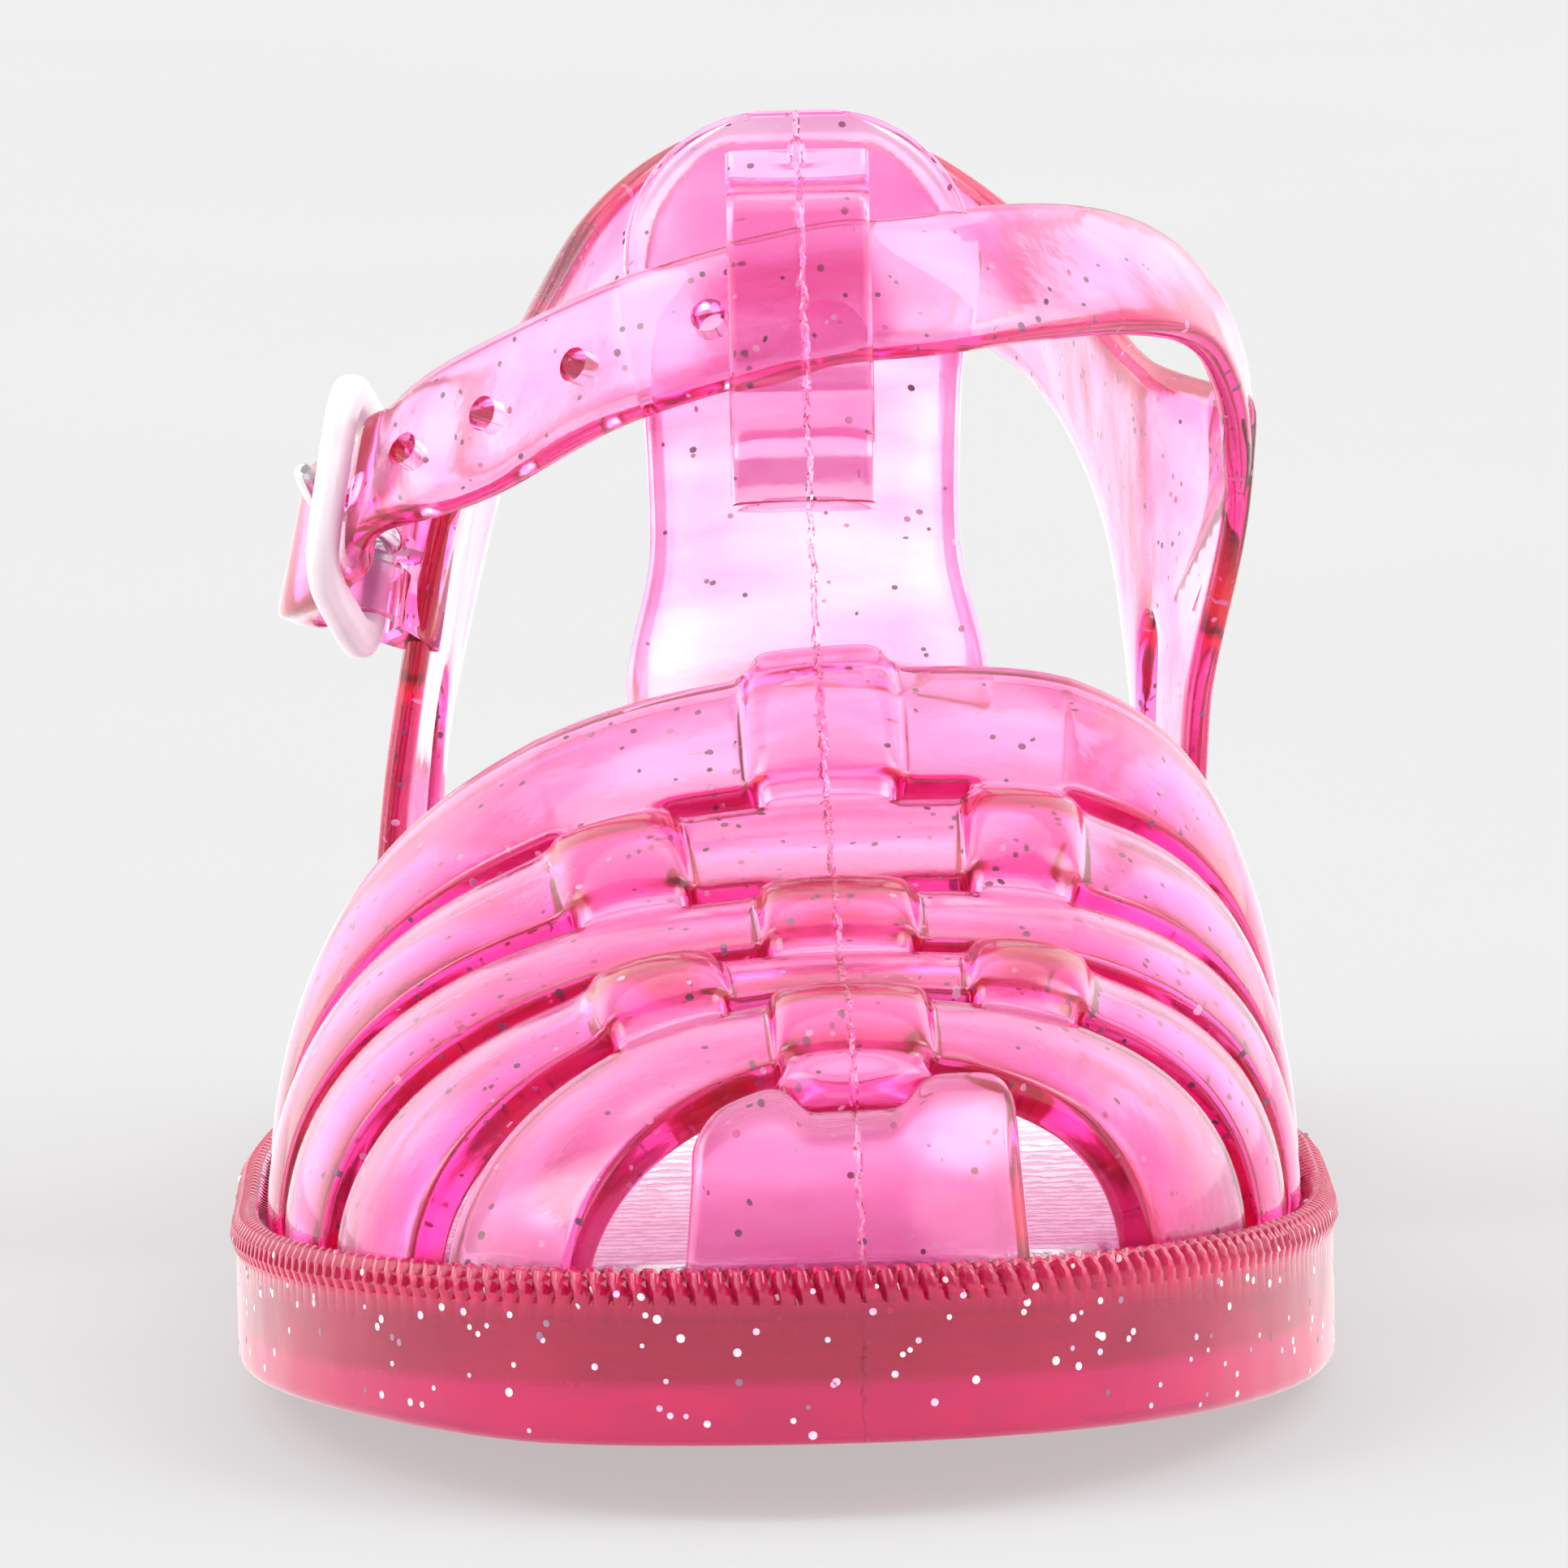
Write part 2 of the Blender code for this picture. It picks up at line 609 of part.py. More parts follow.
def cage_columns(arch_steps, strip_steps, space_steps):
    """For each grid column line, the strip it belongs to, or -1."""
    owner = [-1] * (arch_steps + 1)
    for k in range(len(STRIPS)):
        owner += [k] * (strip_steps + 1) + [-1]
        if k < len(STRIPS) - 1:
            owner += [-1] * (space_steps)
    return np.array(owner + [-1] * arch_steps)


def cage_rows():
    """Grid rows as (kind, number of the strap, place within it)."""
    rows = [("lip", 0, 0.0), ("lip", 0, 1.0)]
    for k in range(STRAP_COUNT):
        rows += [("strap", k, f) for f in STRAP_STATIONS]
        if k < STRAP_COUNT - 1:
            rows += [("gap", k, "near"), ("gap", k, "far")]
    return rows + [("tail", STRAP_COUNT - 1, 1.0)]


def cage_row_values(kind, k, share):
    """Table row for one grid row."""
    front, rear = CAGE[2 * k], CAGE[2 * k + 1]
    if kind == "strap":
        return front + (rear - front) * share
    if kind == "lip":
        slope = (rear - front) / (rear[0] - front[0])
        return front - slope * LIP_LENGTH * (1.0 - share) - slope * STEP * share + np.array(
            (0, -1.1 * (1.0 - share), 0, 0, 0, 0, 0))
    if kind == "tail":
        return rear + (rear - front) / (rear[0] - front[0]) * TAIL_LENGTH
    after = CAGE[2 * k + 2]
    near = STEP / (after[0] - rear[0])
    return rear + (after - rear) * (near if share == "near" else 1 - near)


def strap_height(share):
    return STRAP_EDGE + (STRAP_CROWN - STRAP_EDGE) * (1 - (2 * share - 1) ** 2)


def cage_height(kind, k, share, owner):
    """Height of the outer face over the inner face for one grid row and one column's strip."""
    over = owner >= 0 and k in STRIPS[owner][3]
    if kind == "strap":
        height = strap_height(share)
        if over:
            end = (2 * share - 1) ** 4
            height = STRAP_CROWN + STRIP_RAISE + (STRIP_END_RAISE - STRIP_RAISE) * end
        return height
    if kind == "gap":
        if share == "near":
            return BRIDGE_HIGH if over else BRIDGE_LOW
        return BRIDGE_HIGH if owner >= 0 and k + 1 in STRIPS[owner][3] else BRIDGE_LOW
    return STRAP_CROWN


def make_cage():
    """Woven toe cage: five straps and three strips as one wall."""
    steps = (ARCH_STEPS, 2, 2)
    rows = cage_rows()
    owner = cage_columns(*steps)
    face, normal = [], []
    for kind, k, share in rows:
        row = cage_row_values(kind, k, share)
        angles = cage_angles(row, *steps)
        face.append(cage_point(row, angles))
        normal.append(cage_normal(row[0], angles))
    face, normal = np.array(face), np.array(normal)
    height = np.array([[cage_height(kind, k, share, strip) for strip in owner] for kind, k, share in rows])
    outer = face + normal * (height - STRAP_CROWN)[..., None]
    inner = face - normal * STRAP_CROWN
    in_strip = (owner[:-1] >= 0) & (owner[:-1] == owner[1:])
    middle = (owner[:-1] == 1) & in_strip
    solid = []
    for (kind, k, share), (next_kind, next_k, next_share) in zip(rows, rows[1:]):
        if kind == "strap" and next_kind == "strap":
            solid.append(np.ones(len(owner) - 1, bool))
        elif "lip" in (kind, next_kind) or next_kind == "tail":
            solid.append(middle)
        else:
            solid.append(in_strip)
    return shell("cage", outer, inner, np.array(solid))


def tab_top(across):
    """Height of the tab's top edge; across runs from -1 at the outer corner to +1 at the inner one."""
    side = np.where(across < 0, TAB_TOP_OUTER, TAB_TOP_INNER)
    top = TAB_TOP_MIDDLE + (side - TAB_TOP_MIDDLE) * np.abs(across) ** 2.5
    corner = np.clip((np.abs(across) - 0.86) / 0.14, 0, 1)
    notch = smooth((TAB_NOTCH_HALF / TAB_HALF + 0.08 - np.abs(across)) / 0.16)
    return top - 1.6 * corner ** 2 - TAB_NOTCH_DEPTH * notch


def make_tab():
    """Upright tab at the toe that the middle strip laps over."""
    across = np.linspace(-1, 1, TAB_COLUMNS_COUNT + 1)
    up_share = np.linspace(0, 1, TAB_ROWS_COUNT + 1)[:, None]
    x = TAB_X + across * TAB_HALF
    front = fine_outline(FOOT_INSET)
    front = front[front[:, 1] < LENGTH / 4]
    front = front[np.argsort(front[:, 0])]
    foot_back = np.interp(x, front[:, 0], front[:, 1])
    base = top_lift(foot_back) + MARGIN_UP + MARGIN_THICK / 2
    up = base + (tab_top(across) - base) * up_share
    back = foot_back + TAB_LEAN * ((up - base) / (TAB_TOP_MIDDLE - base)) ** TAB_LEAN_POWER
    narrow = 1 - 0.09 * up_share
    face = place(TAB_X + (x - TAB_X) * narrow, back, up)
    normal = unit(np.cross(np.gradient(face, axis=1), np.gradient(face, axis=0)))
    normal *= -np.sign(normal[0, TAB_COLUMNS_COUNT // 2, 1])
    inner = face - normal * TAB_THICK
    return shell("tab", face, inner, np.ones((TAB_ROWS_COUNT, TAB_COLUMNS_COUNT), bool))


def tongue_frame(up):
    """Middle point of the tongue's plate and its outward normal at given heights."""
    back = curve(TONGUE[:, 1], TONGUE[:, 0], up)
    slope = (curve(TONGUE[:, 1], TONGUE[:, 0], up + 0.2) - curve(TONGUE[:, 1], TONGUE[:, 0], up - 0.2)) / 0.4
    normal = unit(np.stack([0 * up, -np.ones_like(up), slope], axis=-1))
    return place(TONGUE_X, back, up), normal


def make_tongue():
    """Plate that rises from under the rear strap, curved back at its sides."""
    up = curve([0, 0.75, 1], [TONGUE[0, 1], 77.0, TONGUE[-1, 1]], np.linspace(0, 1, TONGUE_ROWS + 1))
    middle, normal = tongue_frame(up)
    half = curve(TONGUE[:, 1], TONGUE[:, 2], up)
    across = np.linspace(-1, 1, TONGUE_CROSS + 1)
    sag = TONGUE_SAG * (across[None, :] * half[:, None] / TONGUE[1, 2]) ** 2
    side = np.array((1.0, 0.0, 0.0))
    face = middle[:, None] + side * (across * half[:, None])[..., None] - normal[:, None] * sag[..., None]
    outer = face + normal[:, None] * TONGUE_THICK / 2
    inner = face - normal[:, None] * TONGUE_THICK / 2
    return shell("tongue", outer, inner, np.ones((TONGUE_ROWS, TONGUE_CROSS), bool))


def make_loop():
    """Band on the tongue's face that leaves a tunnel for the ankle strap."""
    middle, normal = tongue_frame(LOOP[:, 0])
    low = middle + normal * (TONGUE_THICK / 2 + LOOP[:, 1] - 0.8)[:, None]
    bridge = LOOP[:, 1] > 1.0
    low[bridge] += normal[bridge] * 0.8
    high = middle + normal * (TONGUE_THICK / 2 + LOOP[:, 1] + LOOP_THICK)[:, None]
    side = np.array((LOOP_HALF, 0.0, 0.0))
    rings = np.stack([low - side, low + side, high + side, high - side], axis=1)
    return sweep("loop", rings)


def heel_places():
    """Table places around the heel for each grid column, and which opening each cell belongs to."""
    def row_at(side, back):
        rows = np.flatnonzero(HEEL[:, 0] == side)
        backs = HEEL[rows, 1]
        order = np.argsort(backs)
        return np.interp(back, backs[order], rows[order])

    last = len(HEEL) - 1
    stops = [
        (0.0, PILLAR_STEPS, ""),
        (row_at(-1, SLOT_OUTER[0]), SLOT_STEPS, "outer slot"),
        (row_at(-1, SLOT_OUTER[1]), POST_STEPS, ""),
        (row_at(-1, WINDOW_OUTER_BACK), WINDOW_STEPS, "window"),
        (row_at(1, WINDOW_INNER_BACK), POST_STEPS, ""),
        (row_at(1, SLOT_INNER[1]), SLOT_STEPS, "inner slot"),
        (row_at(1, SLOT_INNER[0]), PILLAR_STEPS, ""),
        (last, 0, ""),
    ]
    places, cells = [0.0], []
    for (start, count, name), (end, _, _) in zip(stops, stops[1:]):
        places += list(np.linspace(start, end, count + 1)[1:])
        cells += [name] * count
    return np.array(places), cells


def opening_top(places, cells):
    """Height of the line that tops the slots and the window, for every grid column."""
    top = np.full(len(places), np.nan)
    slots = {"outer slot": SLOT_OUTER[2], "inner slot": SLOT_INNER[2]}
    for name in ("outer slot", "window", "inner slot"):
        first = cells.index(name)
        count = cells.count(name)
        share = np.linspace(-1, 1, count + 1)
        if name == "window":
            power = np.where(share < 0, WINDOW_OUTER_POWER, WINDOW_INNER_POWER)
            arch = np.maximum(1 - np.abs(share) ** power, 0) ** (1 / power)
            low = CUP_TOP + WINDOW_SIDE
            top[first:first + count + 1] = low + (WINDOW_TOP - low) * arch
        else:
            top[first:first + count + 1] = slots[name] - SLOT_ROUND * share ** 2
    known = ~np.isnan(top)
    return np.interp(places, places[known], top[known])


def heel_wall_point(row, base, up):
    """Outer face of the heel part for table rows at given heights."""
    share = np.clip((up - base[..., 2]) / (row[..., 4] - base[..., 2]), 0, 1)
    lean = share ** row[..., 5]
    x = base[..., 0] + (row[..., 2] - base[..., 0]) * lean
    back = base[..., 1] + (row[..., 3] - base[..., 1]) * lean
    return place(x, back, up)


def make_heel():
    """Heel cup, quarters and collar as one wall with a rear window and two side slots."""
    places, cells = heel_places()
    rows = table(HEEL, places)
    loop_base = np.array([(inset_x(row[0], row[1], FOOT_INSET + row[6]), row[1]) for row in HEEL])
    base_x, base_back = table(loop_base, places).T
    base_up = top_lift(base_back) + MARGIN_UP + MARGIN_THICK / 2
    base = np.stack([base_x, base_back, base_up], axis=-1)
    cup = np.full(len(places), CUP_TOP)
    arch = opening_top(places, cells)
    levels = []
    for start, end, count in ((base_up, cup, CUP_ROWS), (cup, arch, OPEN_ROWS), (arch, rows[:, 4], COLLAR_ROWS)):
        levels += [start + (end - start) * k / count for k in range(count)]
    levels.append(rows[:, 4])
    face = np.array([heel_wall_point(rows, base, up) for up in levels])
    normal = unit(np.cross(np.gradient(face, axis=1), np.gradient(face, axis=0)))
    if normal[0, len(places) // 2, 1] < 0:
        normal = -normal
    inner = face - normal * WALL
    solid = np.ones((len(levels) - 1, len(cells)), bool)
    for j, name in enumerate(cells):
        if name:
            solid[CUP_ROWS:CUP_ROWS + OPEN_ROWS, j] = False
    return shell("heel", face, inner, solid)


def buckle_axes():
    run, rise = unit(BUCKLE_RUN), unit(BUCKLE_RISE)
    out = -unit(np.cross(run, rise))
    return run, rise, out


def buckle_point(run_by, rise_by, out_by):
    """World point from lengths along the buckle's own axes."""
    run, rise, out = buckle_axes()
    middle = place(BUCKLE_X, BUCKLE_BACK, BUCKLE_UP)
    parts = [np.asarray(v, float)[..., None] for v in (run_by, rise_by, out_by)]
    return middle + parts[0] * run + parts[1] * rise + parts[2] * out


def oval(angle):
    """Middle line of the buckle's ring in its own plane."""
    c, s = np.cos(angle), np.sin(angle)
    run = np.sign(c) * BUCKLE_REACH * np.abs(c) ** (2 / BUCKLE_POWER)
    rise = np.sign(s) * BUCKLE_HALF_HEIGHT * np.abs(s) ** (2 / BUCKLE_POWER)
    return run, rise


def make_buckle():
    """Oval ring of white plastic."""
    angle = np.linspace(0, 2 * math.pi, BUCKLE_STEPS, endpoint=False)
    run, rise = oval(angle)
    line = np.stack([run, rise], axis=-1)
    along = unit(np.roll(line, -1, axis=0) - np.roll(line, 1, axis=0))
    outward = np.column_stack([along[:, 1], -along[:, 0]])
    rings = []
    for turn in np.linspace(0, 2 * math.pi, BAR_SIDES, endpoint=False) + math.pi / BAR_SIDES:
        wide = BAR_WIDE / 2 * math.copysign(abs(math.cos(turn)) ** 0.7, math.cos(turn))
        thick = BAR_THICK / 2 * math.copysign(abs(math.sin(turn)) ** 0.7, math.sin(turn))
        spot = line + outward * wide
        rings.append(buckle_point(spot[:, 0], spot[:, 1], thick))
    buckle = sweep("buckle_frame", np.stack(rings, axis=1), closed=True)
    shade(buckle, BUCKLE_WHITE)
    return buckle


def tube(name, line, side, radii, sides):
    """Round rod along a line of points that stays square to one side direction."""
    along = unit(np.gradient(line, axis=0))
    other = unit(np.cross(along, side))
    turn = np.linspace(0, 2 * math.pi, sides, endpoint=False)
    ring = np.cos(turn)[None, :, None] * side + np.sin(turn)[None, :, None] * other[:, None]
    return sweep(name, line[:, None] + ring * np.asarray(radii)[:, None, None])


def make_prong():
    """Steel prong that hooks round the buckle's rear bar and lies on its front bar."""
    turn = np.radians(np.linspace(215, -20, 10))
    hook_run = BUCKLE_REACH + PRONG_RING * np.cos(turn)
    hook_out = PRONG_RING * np.sin(turn)
    run = np.concatenate([PRONG[:, 0], hook_run])
    out = np.concatenate([PRONG[:, 1], hook_out])
    radii = np.concatenate([PRONG[:, 2], np.full(len(turn), PRONG_RADIUS)])
    line = buckle_point(run, PRONG_RISE + 0 * run, out)
    prong = tube("buckle_prong", line, buckle_axes()[1], radii, 8)
    shade(prong, PRONG_STEEL, 60.0)
    return prong


def strap_frames():
    """Middle points, width directions and half widths along the ankle strap."""
    azimuth, tilt = np.radians(STRAP[:, 3]), np.radians(STRAP[:, 4])
    facing = np.column_stack([np.sin(azimuth) * np.cos(tilt), -np.cos(azimuth) * np.cos(tilt), np.sin(tilt)])
    middle = place(STRAP[:, 0], STRAP[:, 1], STRAP[:, 2])
    end = buckle_point(STRAP_END[:, 0], STRAP_END[:, 1], STRAP_END[:, 2])
    end_facing = np.tile(buckle_axes()[2], (len(STRAP_END), 1))
    knots = np.hstack([
        np.vstack([middle, end]),
        np.vstack([facing, end_facing]),
        np.concatenate([STRAP[:, 5], STRAP_END[:, 3]])[:, None],
    ])
    return knots


def strap_at(knots, at):
    """Point, width direction, outward direction and half width at fractional rows."""
    def read(t):
        return np.stack([natural(knots[:, k], t) for k in range(3)], axis=-1)

    point = read(at)
    along = unit(read(at + 0.02) - read(at - 0.02))
    facing = unit(np.stack([natural(knots[:, k], at) for k in range(3, 6)], axis=-1))
    wide = unit(np.cross(facing, along))
    return point, wide, unit(np.cross(along, wide)), natural(knots[:, 6], at)


def natural(values, at):
    """Even cubic curve through values at whole places, with slopes from both neighbours."""
    values, at = np.asarray(values, float), np.asarray(at, float)
    slope = np.gradient(values)
    i = np.clip(np.floor(at).astype(int), 0, len(values) - 2)
    t = at - i
    a = (1 + 2 * t) * (1 - t) ** 2
    b = t * (1 - t) ** 2
    c = t * t * (3 - 2 * t)
    d = t * t * (t - 1)
    return a * values[i] + b * slope[i] + c * values[i + 1] + d * slope[i + 1]


def make_strap():
    """Ankle strap from the inner quarter through the loop and the buckle."""
    knots = strap_frames()
    at = np.linspace(0, len(knots) - 1, STRAP_STEPS)
    point, wide, out, half = strap_at(knots, at)
    thin = STRAP_THICK / 2
    corners = []
    lower, upper = ((-1, -1, 0), (1, -1, 0), (1, -1, 1)), ((1, 1, 1), (1, 1, 0), (-1, 1, 0), (-1, 1, 1), (-1, -1, 1))
    for w, t, flat in lower + upper:
        across = w * (half - STRAP_ROUND * (1 - flat))
        corners.append(point + across[:, None] * wide + out * t * (thin - STRAP_ROUND * flat))
    return sweep("ankle_strap", np.stack(corners, axis=1))


def make_holes():
    """Cutters for the round holes and for the slot that the prong goes through."""
    knots = strap_frames()
    point, wide, out, _ = strap_at(knots, np.array(HOLE_ROWS))
    turn = np.linspace(0, 2 * math.pi, HOLE_SIDES, endpoint=False)
    points, faces = [], []
    for p, w, o in zip(point, wide, out):
        along = np.cross(w, o)
        for depth in (-STRAP_THICK, STRAP_THICK):
            points += [p + HOLE_RADIUS * (math.cos(a) * w + math.sin(a) * along) + depth * o for a in turn]
    count = len(points) // (2 * HOLE_SIDES)
    for k in range(count):
        start = 2 * HOLE_SIDES * k
        faces.append(tuple(range(start, start + HOLE_SIDES)))
        faces.append(tuple(range(start + HOLE_SIDES, start + 2 * HOLE_SIDES)))
        for j in range(HOLE_SIDES):
            n = (j + 1) % HOLE_SIDES
            faces.append((start + j, start + n, start + HOLE_SIDES + n, start + HOLE_SIDES + j))
    start_run, end_run, half = PRONG_HOLE
    first = len(points)
    for out_by in (-3.0, 4.5):
        for run, side in ((start_run, -1), (end_run, -1), (end_run, 1), (start_run, 1)):
            points.append(buckle_point(run, PRONG_RISE + side * half, out_by))
    faces += [tuple(first + k for k in face) for face in (
        (0, 1, 2, 3), (4, 5, 6, 7), (0, 1, 5, 4), (1, 2, 6, 5), (2, 3, 7, 6), (3, 0, 4, 7))]
    return add_mesh("hole_cut", np.array(points), faces)


def buckle_prism(name, profile, low, high):
    """Solid with a profile in the buckle's run and out axes, between two places on its rise."""
    rings = [[buckle_point(run, rise, out) for run, out in profile] for rise in (low, high)]
    return sweep(name, rings)


def circle(radius):
    """Points around the buckle's rear bar."""
    turn = np.linspace(0, 2 * math.pi, KEEPER_SIDES, endpoint=False)
    return [(BUCKLE_REACH + radius * math.cos(a), radius * math.sin(a)) for a in turn]


def make_keeper():
    """Tab of the outer quarter that wraps the buckle's rear bar."""
    ring = circle(KEEPER_RADIUS)
    kept = [p for k, p in enumerate(ring) if 1 <= k <= KEEPER_SIDES - 3]
    end = [(KEEPER_END_RUN, KEEPER_END_OUT + by) for by in (-KEEPER_END_HALF, KEEPER_END_HALF)]
    return buckle_prism("keeper", kept + end, -KEEPER_HALF, KEEPER_HALF)


def make_bore():
    """Cutter for the rear bar's own room in the keeper."""
    return buckle_prism("bore_cut", circle(KEEPER_BORE), -KEEPER_HALF - 1, KEEPER_HALF + 1)


def make_prong_slot():
    """Cutter that leaves room for the prong in the middle of the keeper."""
    near, far, deep = BUCKLE_REACH - 4, KEEPER_SLOT_END, 4.5
    profile = [(near, -deep), (far, -deep), (far, deep), (near, deep)]
    return buckle_prism("slot_cut", profile, -KEEPER_SLOT_HALF, KEEPER_SLOT_HALF)


def make_upper():
    """The whole upper as one solid."""
    upper = make_margin()
    keeper = make_keeper()
    combine(keeper, make_bore(), "DIFFERENCE")
    combine(keeper, make_prong_slot(), "DIFFERENCE")
    strap = make_strap()
    combine(strap, make_holes(), "DIFFERENCE")
    for piece in (make_cage(), make_tab(), make_tongue(), make_loop(), make_heel(), keeper, strap):
        combine(upper, piece, "UNION")
    shade(upper, JELLY_PINK)
    return upper


def main():
    for thing in list(bpy.data.objects):
        bpy.data.objects.remove(thing, do_unlink=True)
    make_sole()
    make_insole()
    make_upper()
    make_buckle()
    make_prong()


main()
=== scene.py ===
"""Looks of a child's jelly sandal: clear pink soft plastic with glitter, a milky buckle and a steel prong.

Sizes are in millimetres until a mesh is made. The toe points to -Y and the inner side of the foot is at +X.
"back" is the distance behind the toe tip, "up" the height over the floor.
"""
import math

import bmesh
import bpy
import numpy as np
from mathutils import Matrix, Vector


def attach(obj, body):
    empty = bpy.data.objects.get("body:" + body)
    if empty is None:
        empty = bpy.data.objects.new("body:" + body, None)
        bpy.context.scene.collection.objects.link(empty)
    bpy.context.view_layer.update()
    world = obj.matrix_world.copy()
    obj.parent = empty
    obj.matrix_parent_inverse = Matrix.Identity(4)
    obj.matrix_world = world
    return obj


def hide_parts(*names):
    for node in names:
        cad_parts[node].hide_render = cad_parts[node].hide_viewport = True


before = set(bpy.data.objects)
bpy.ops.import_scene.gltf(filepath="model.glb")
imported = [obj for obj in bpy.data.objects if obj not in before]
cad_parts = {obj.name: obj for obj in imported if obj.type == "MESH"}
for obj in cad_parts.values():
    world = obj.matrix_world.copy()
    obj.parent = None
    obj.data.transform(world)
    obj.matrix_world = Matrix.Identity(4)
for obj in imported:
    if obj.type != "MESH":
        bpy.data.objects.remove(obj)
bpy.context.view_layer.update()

# Driving sizes
MM = 0.001
LENGTH = 186.0
TOE_LIFT = 4.2
TOE_LIFT_LENGTH = 62.0
TOE_LIFT_POWER = 1.15
HEEL_LIFT = 3.5
HEEL_LIFT_START, HEEL_LIFT_END = 92.0, 150.0
ARCH_LIFT = 2.4
ARCH_START, ARCH_END = 88.0, 128.0
GAP = 0.3
ACROSS = np.array((1.0, 0.0, 0.0))

# Sole outline: half breadths from the middle line, before the round toe and heel are cut
# Columns: back, outer, inner
OUTLINE = np.array([
    (0.0, 37.2, 37.2),
    (58.0, 37.2, 37.2),
    (76.0, 37.3, 36.9),
    (92.0, 36.2, 34.4),
    (112.0, 32.2, 31.6),
    (130.0, 29.8, 30.2),
    (150.0, 27.8, 29.2),
    (186.0, 26.2, 28.6),
])
TOE_ROUND, TOE_POWER, TOE_X = 58.0, 2.2, 0.8
HEEL_ROUND, HEEL_POWER, HEEL_X = 32.0, 2.2, 1.4

# Levels at the ball of the foot
GROOVE_UP = 8.6
MARGIN_THICK = 1.3
MARGIN_UP = GROOVE_UP + GAP
FOOT_UP = MARGIN_UP + 0.2
PLATEAU_UP = MARGIN_UP + MARGIN_THICK
INSOLE_UP = PLATEAU_UP + GAP
INSOLE_THICK = 1.2
# Columns: inset from the footbed's own edge, height over its underside
INSOLE_EDGE = ((0.0, 0.0), (0.0, 0.8), (0.12, 1.08), (0.4, INSOLE_THICK), (2.0, INSOLE_THICK))
INSOLE_PLAY = 0.9
RIM_WIDTH = 1.5
BOTTOM_ROUND = 1.0
FLAT_INSET = 6.5
EDGE_LIFT, OUTER_EDGE_LIFT = 0.45, 1.1
OUTER_EDGE_START, OUTER_EDGE_END = 14.0, 34.0
OUTER_EDGE_FADE_START, OUTER_EDGE_FADE_END = 62.0, 95.0

# Insets from the sole's edge
FOOT_INSET = RIM_WIDTH + GAP
MARGIN_INNER = 8.2
PLATEAU_INSET = MARGIN_INNER + GAP

# Upper walls
WALL = 2.0
STRAP_EDGE, STRAP_CROWN = 2.0, 2.6
QUARTER_INSET = 1.4
INSOLE_INSET = FOOT_INSET + QUARTER_INSET + STRAP_CROWN + GAP + INSOLE_PLAY

# Toe cage: one row for each strap edge, from the toe back. The ridge is the arch's highest line.
# Columns: ridge back, ridge up, outer foot back, inner foot back, ridge x, outer power, inner power
CAGE = np.array([
    (13.0, 28.6, 5.8, 15.0, 4.7, 2.10, 2.35),
    (23.0, 31.0, 13.0, 29.0, 4.8, 2.15, 2.40),
    (24.7, 31.3, 16.0, 31.5, 5.0, 2.20, 2.45),
    (33.0, 32.6, 26.5, 41.5, 5.5, 2.25, 2.55),
    (34.8, 33.0, 29.0, 44.0, 6.0, 2.35, 2.60),
    (43.4, 35.2, 41.0, 53.5, 7.0, 2.40, 2.70),
    (45.2, 35.8, 44.0, 56.0, 7.4, 2.42, 2.75),
    (54.5, 39.9, 57.5, 66.0, 8.6, 2.42, 2.82),
    (56.3, 40.8, 61.0, 70.0, 9.0, 2.42, 2.85),
    (67.5, 47.4, 74.0, 80.0, 10.0, 2.42, 2.90),
])
LIP_LENGTH, TAIL_LENGTH = 3.2, 2.2
LIP_DROP, LIP_POWER, LIP_LEAST = 1.1, 2.6, 0.02
CAGE_WALL = 3.4
STRAP_COUNT = len(CAGE) // 2
FOOT_SWEEP = 2.5
STEP = 0.35

# Lengthwise strips of the weave
# Columns: x at the toe, x at the throat, half width, straps passed over as counted from the toe
STRIPS = (
    (-6.1, -12.3, 3.9, (1, 3)),
    (4.8, 3.2, 4.9, (0, 2, 4)),
    (16.4, 16.7, 3.6, (1, 3)),
)
STRIP_TOE_BACK, STRIP_THROAT_BACK = 14.0, 64.0
STRIP_RAISE, STRIP_END_RAISE = 1.2, 0.4
STRIP_END_POWER = 3
STRIP_CROWN, STRIP_HOLLOW = 0.6, 0.8
BRIDGE_HIGH, BRIDGE_LOW = 2.6, 1.9

# Toe tab
TAB_X, TAB_HALF = 4.8, 11.8
TAB_THICK = 3.5
TAB_TOP_OUTER, TAB_TOP_MIDDLE, TAB_TOP_INNER = 25.2, 28.0, 27.4
TAB_LEAN, TAB_LEAN_POWER = 8.2, 2.2
TAB_NOTCH_HALF, TAB_NOTCH_DEPTH = 4.4, 2.0
TAB_NOTCH_BLEND = 0.16
TAB_TOP_POWER = 2.5
TAB_CORNER_START, TAB_CORNER_RUN, TAB_CORNER_DROP = 0.86, 0.14, 1.6
TAB_NARROW = 0.09

# Tongue: middle line of the plate, with its half width
TONGUE_X = 2.4
# Columns: back, up, half width
TONGUE = np.array([
    (60.5, 38.8, 11.4),
    (70.0, 46.6, 12.6),
    (78.0, 54.8, 10.7),
    (85.5, 64.4, 11.1),
    (90.5, 73.2, 12.3),
    (93.6, 80.2, 9.2),
    (94.4, 82.4, 4.4),
])
TONGUE_THICK = 1.3
TONGUE_SAG = 2.6
TONGUE_ROOT_UP, TONGUE_ROUND_UP, TONGUE_TOP_UP = 43.8, 73.2, 82.8
TONGUE_TOP_TURN, TONGUE_POWER = 80.0, 2.2
TONGUE_BEAD, TONGUE_BEAD_WIDE = 0.4, 1.6
TONGUE_ROOT_RUN, TONGUE_ROOT_THIN = 4.0, 0.12
TONGUE_ACROSS = np.array((-1, -0.95, -0.88, *np.linspace(-0.78, 0.78, 9), 0.88, 0.95, 1))

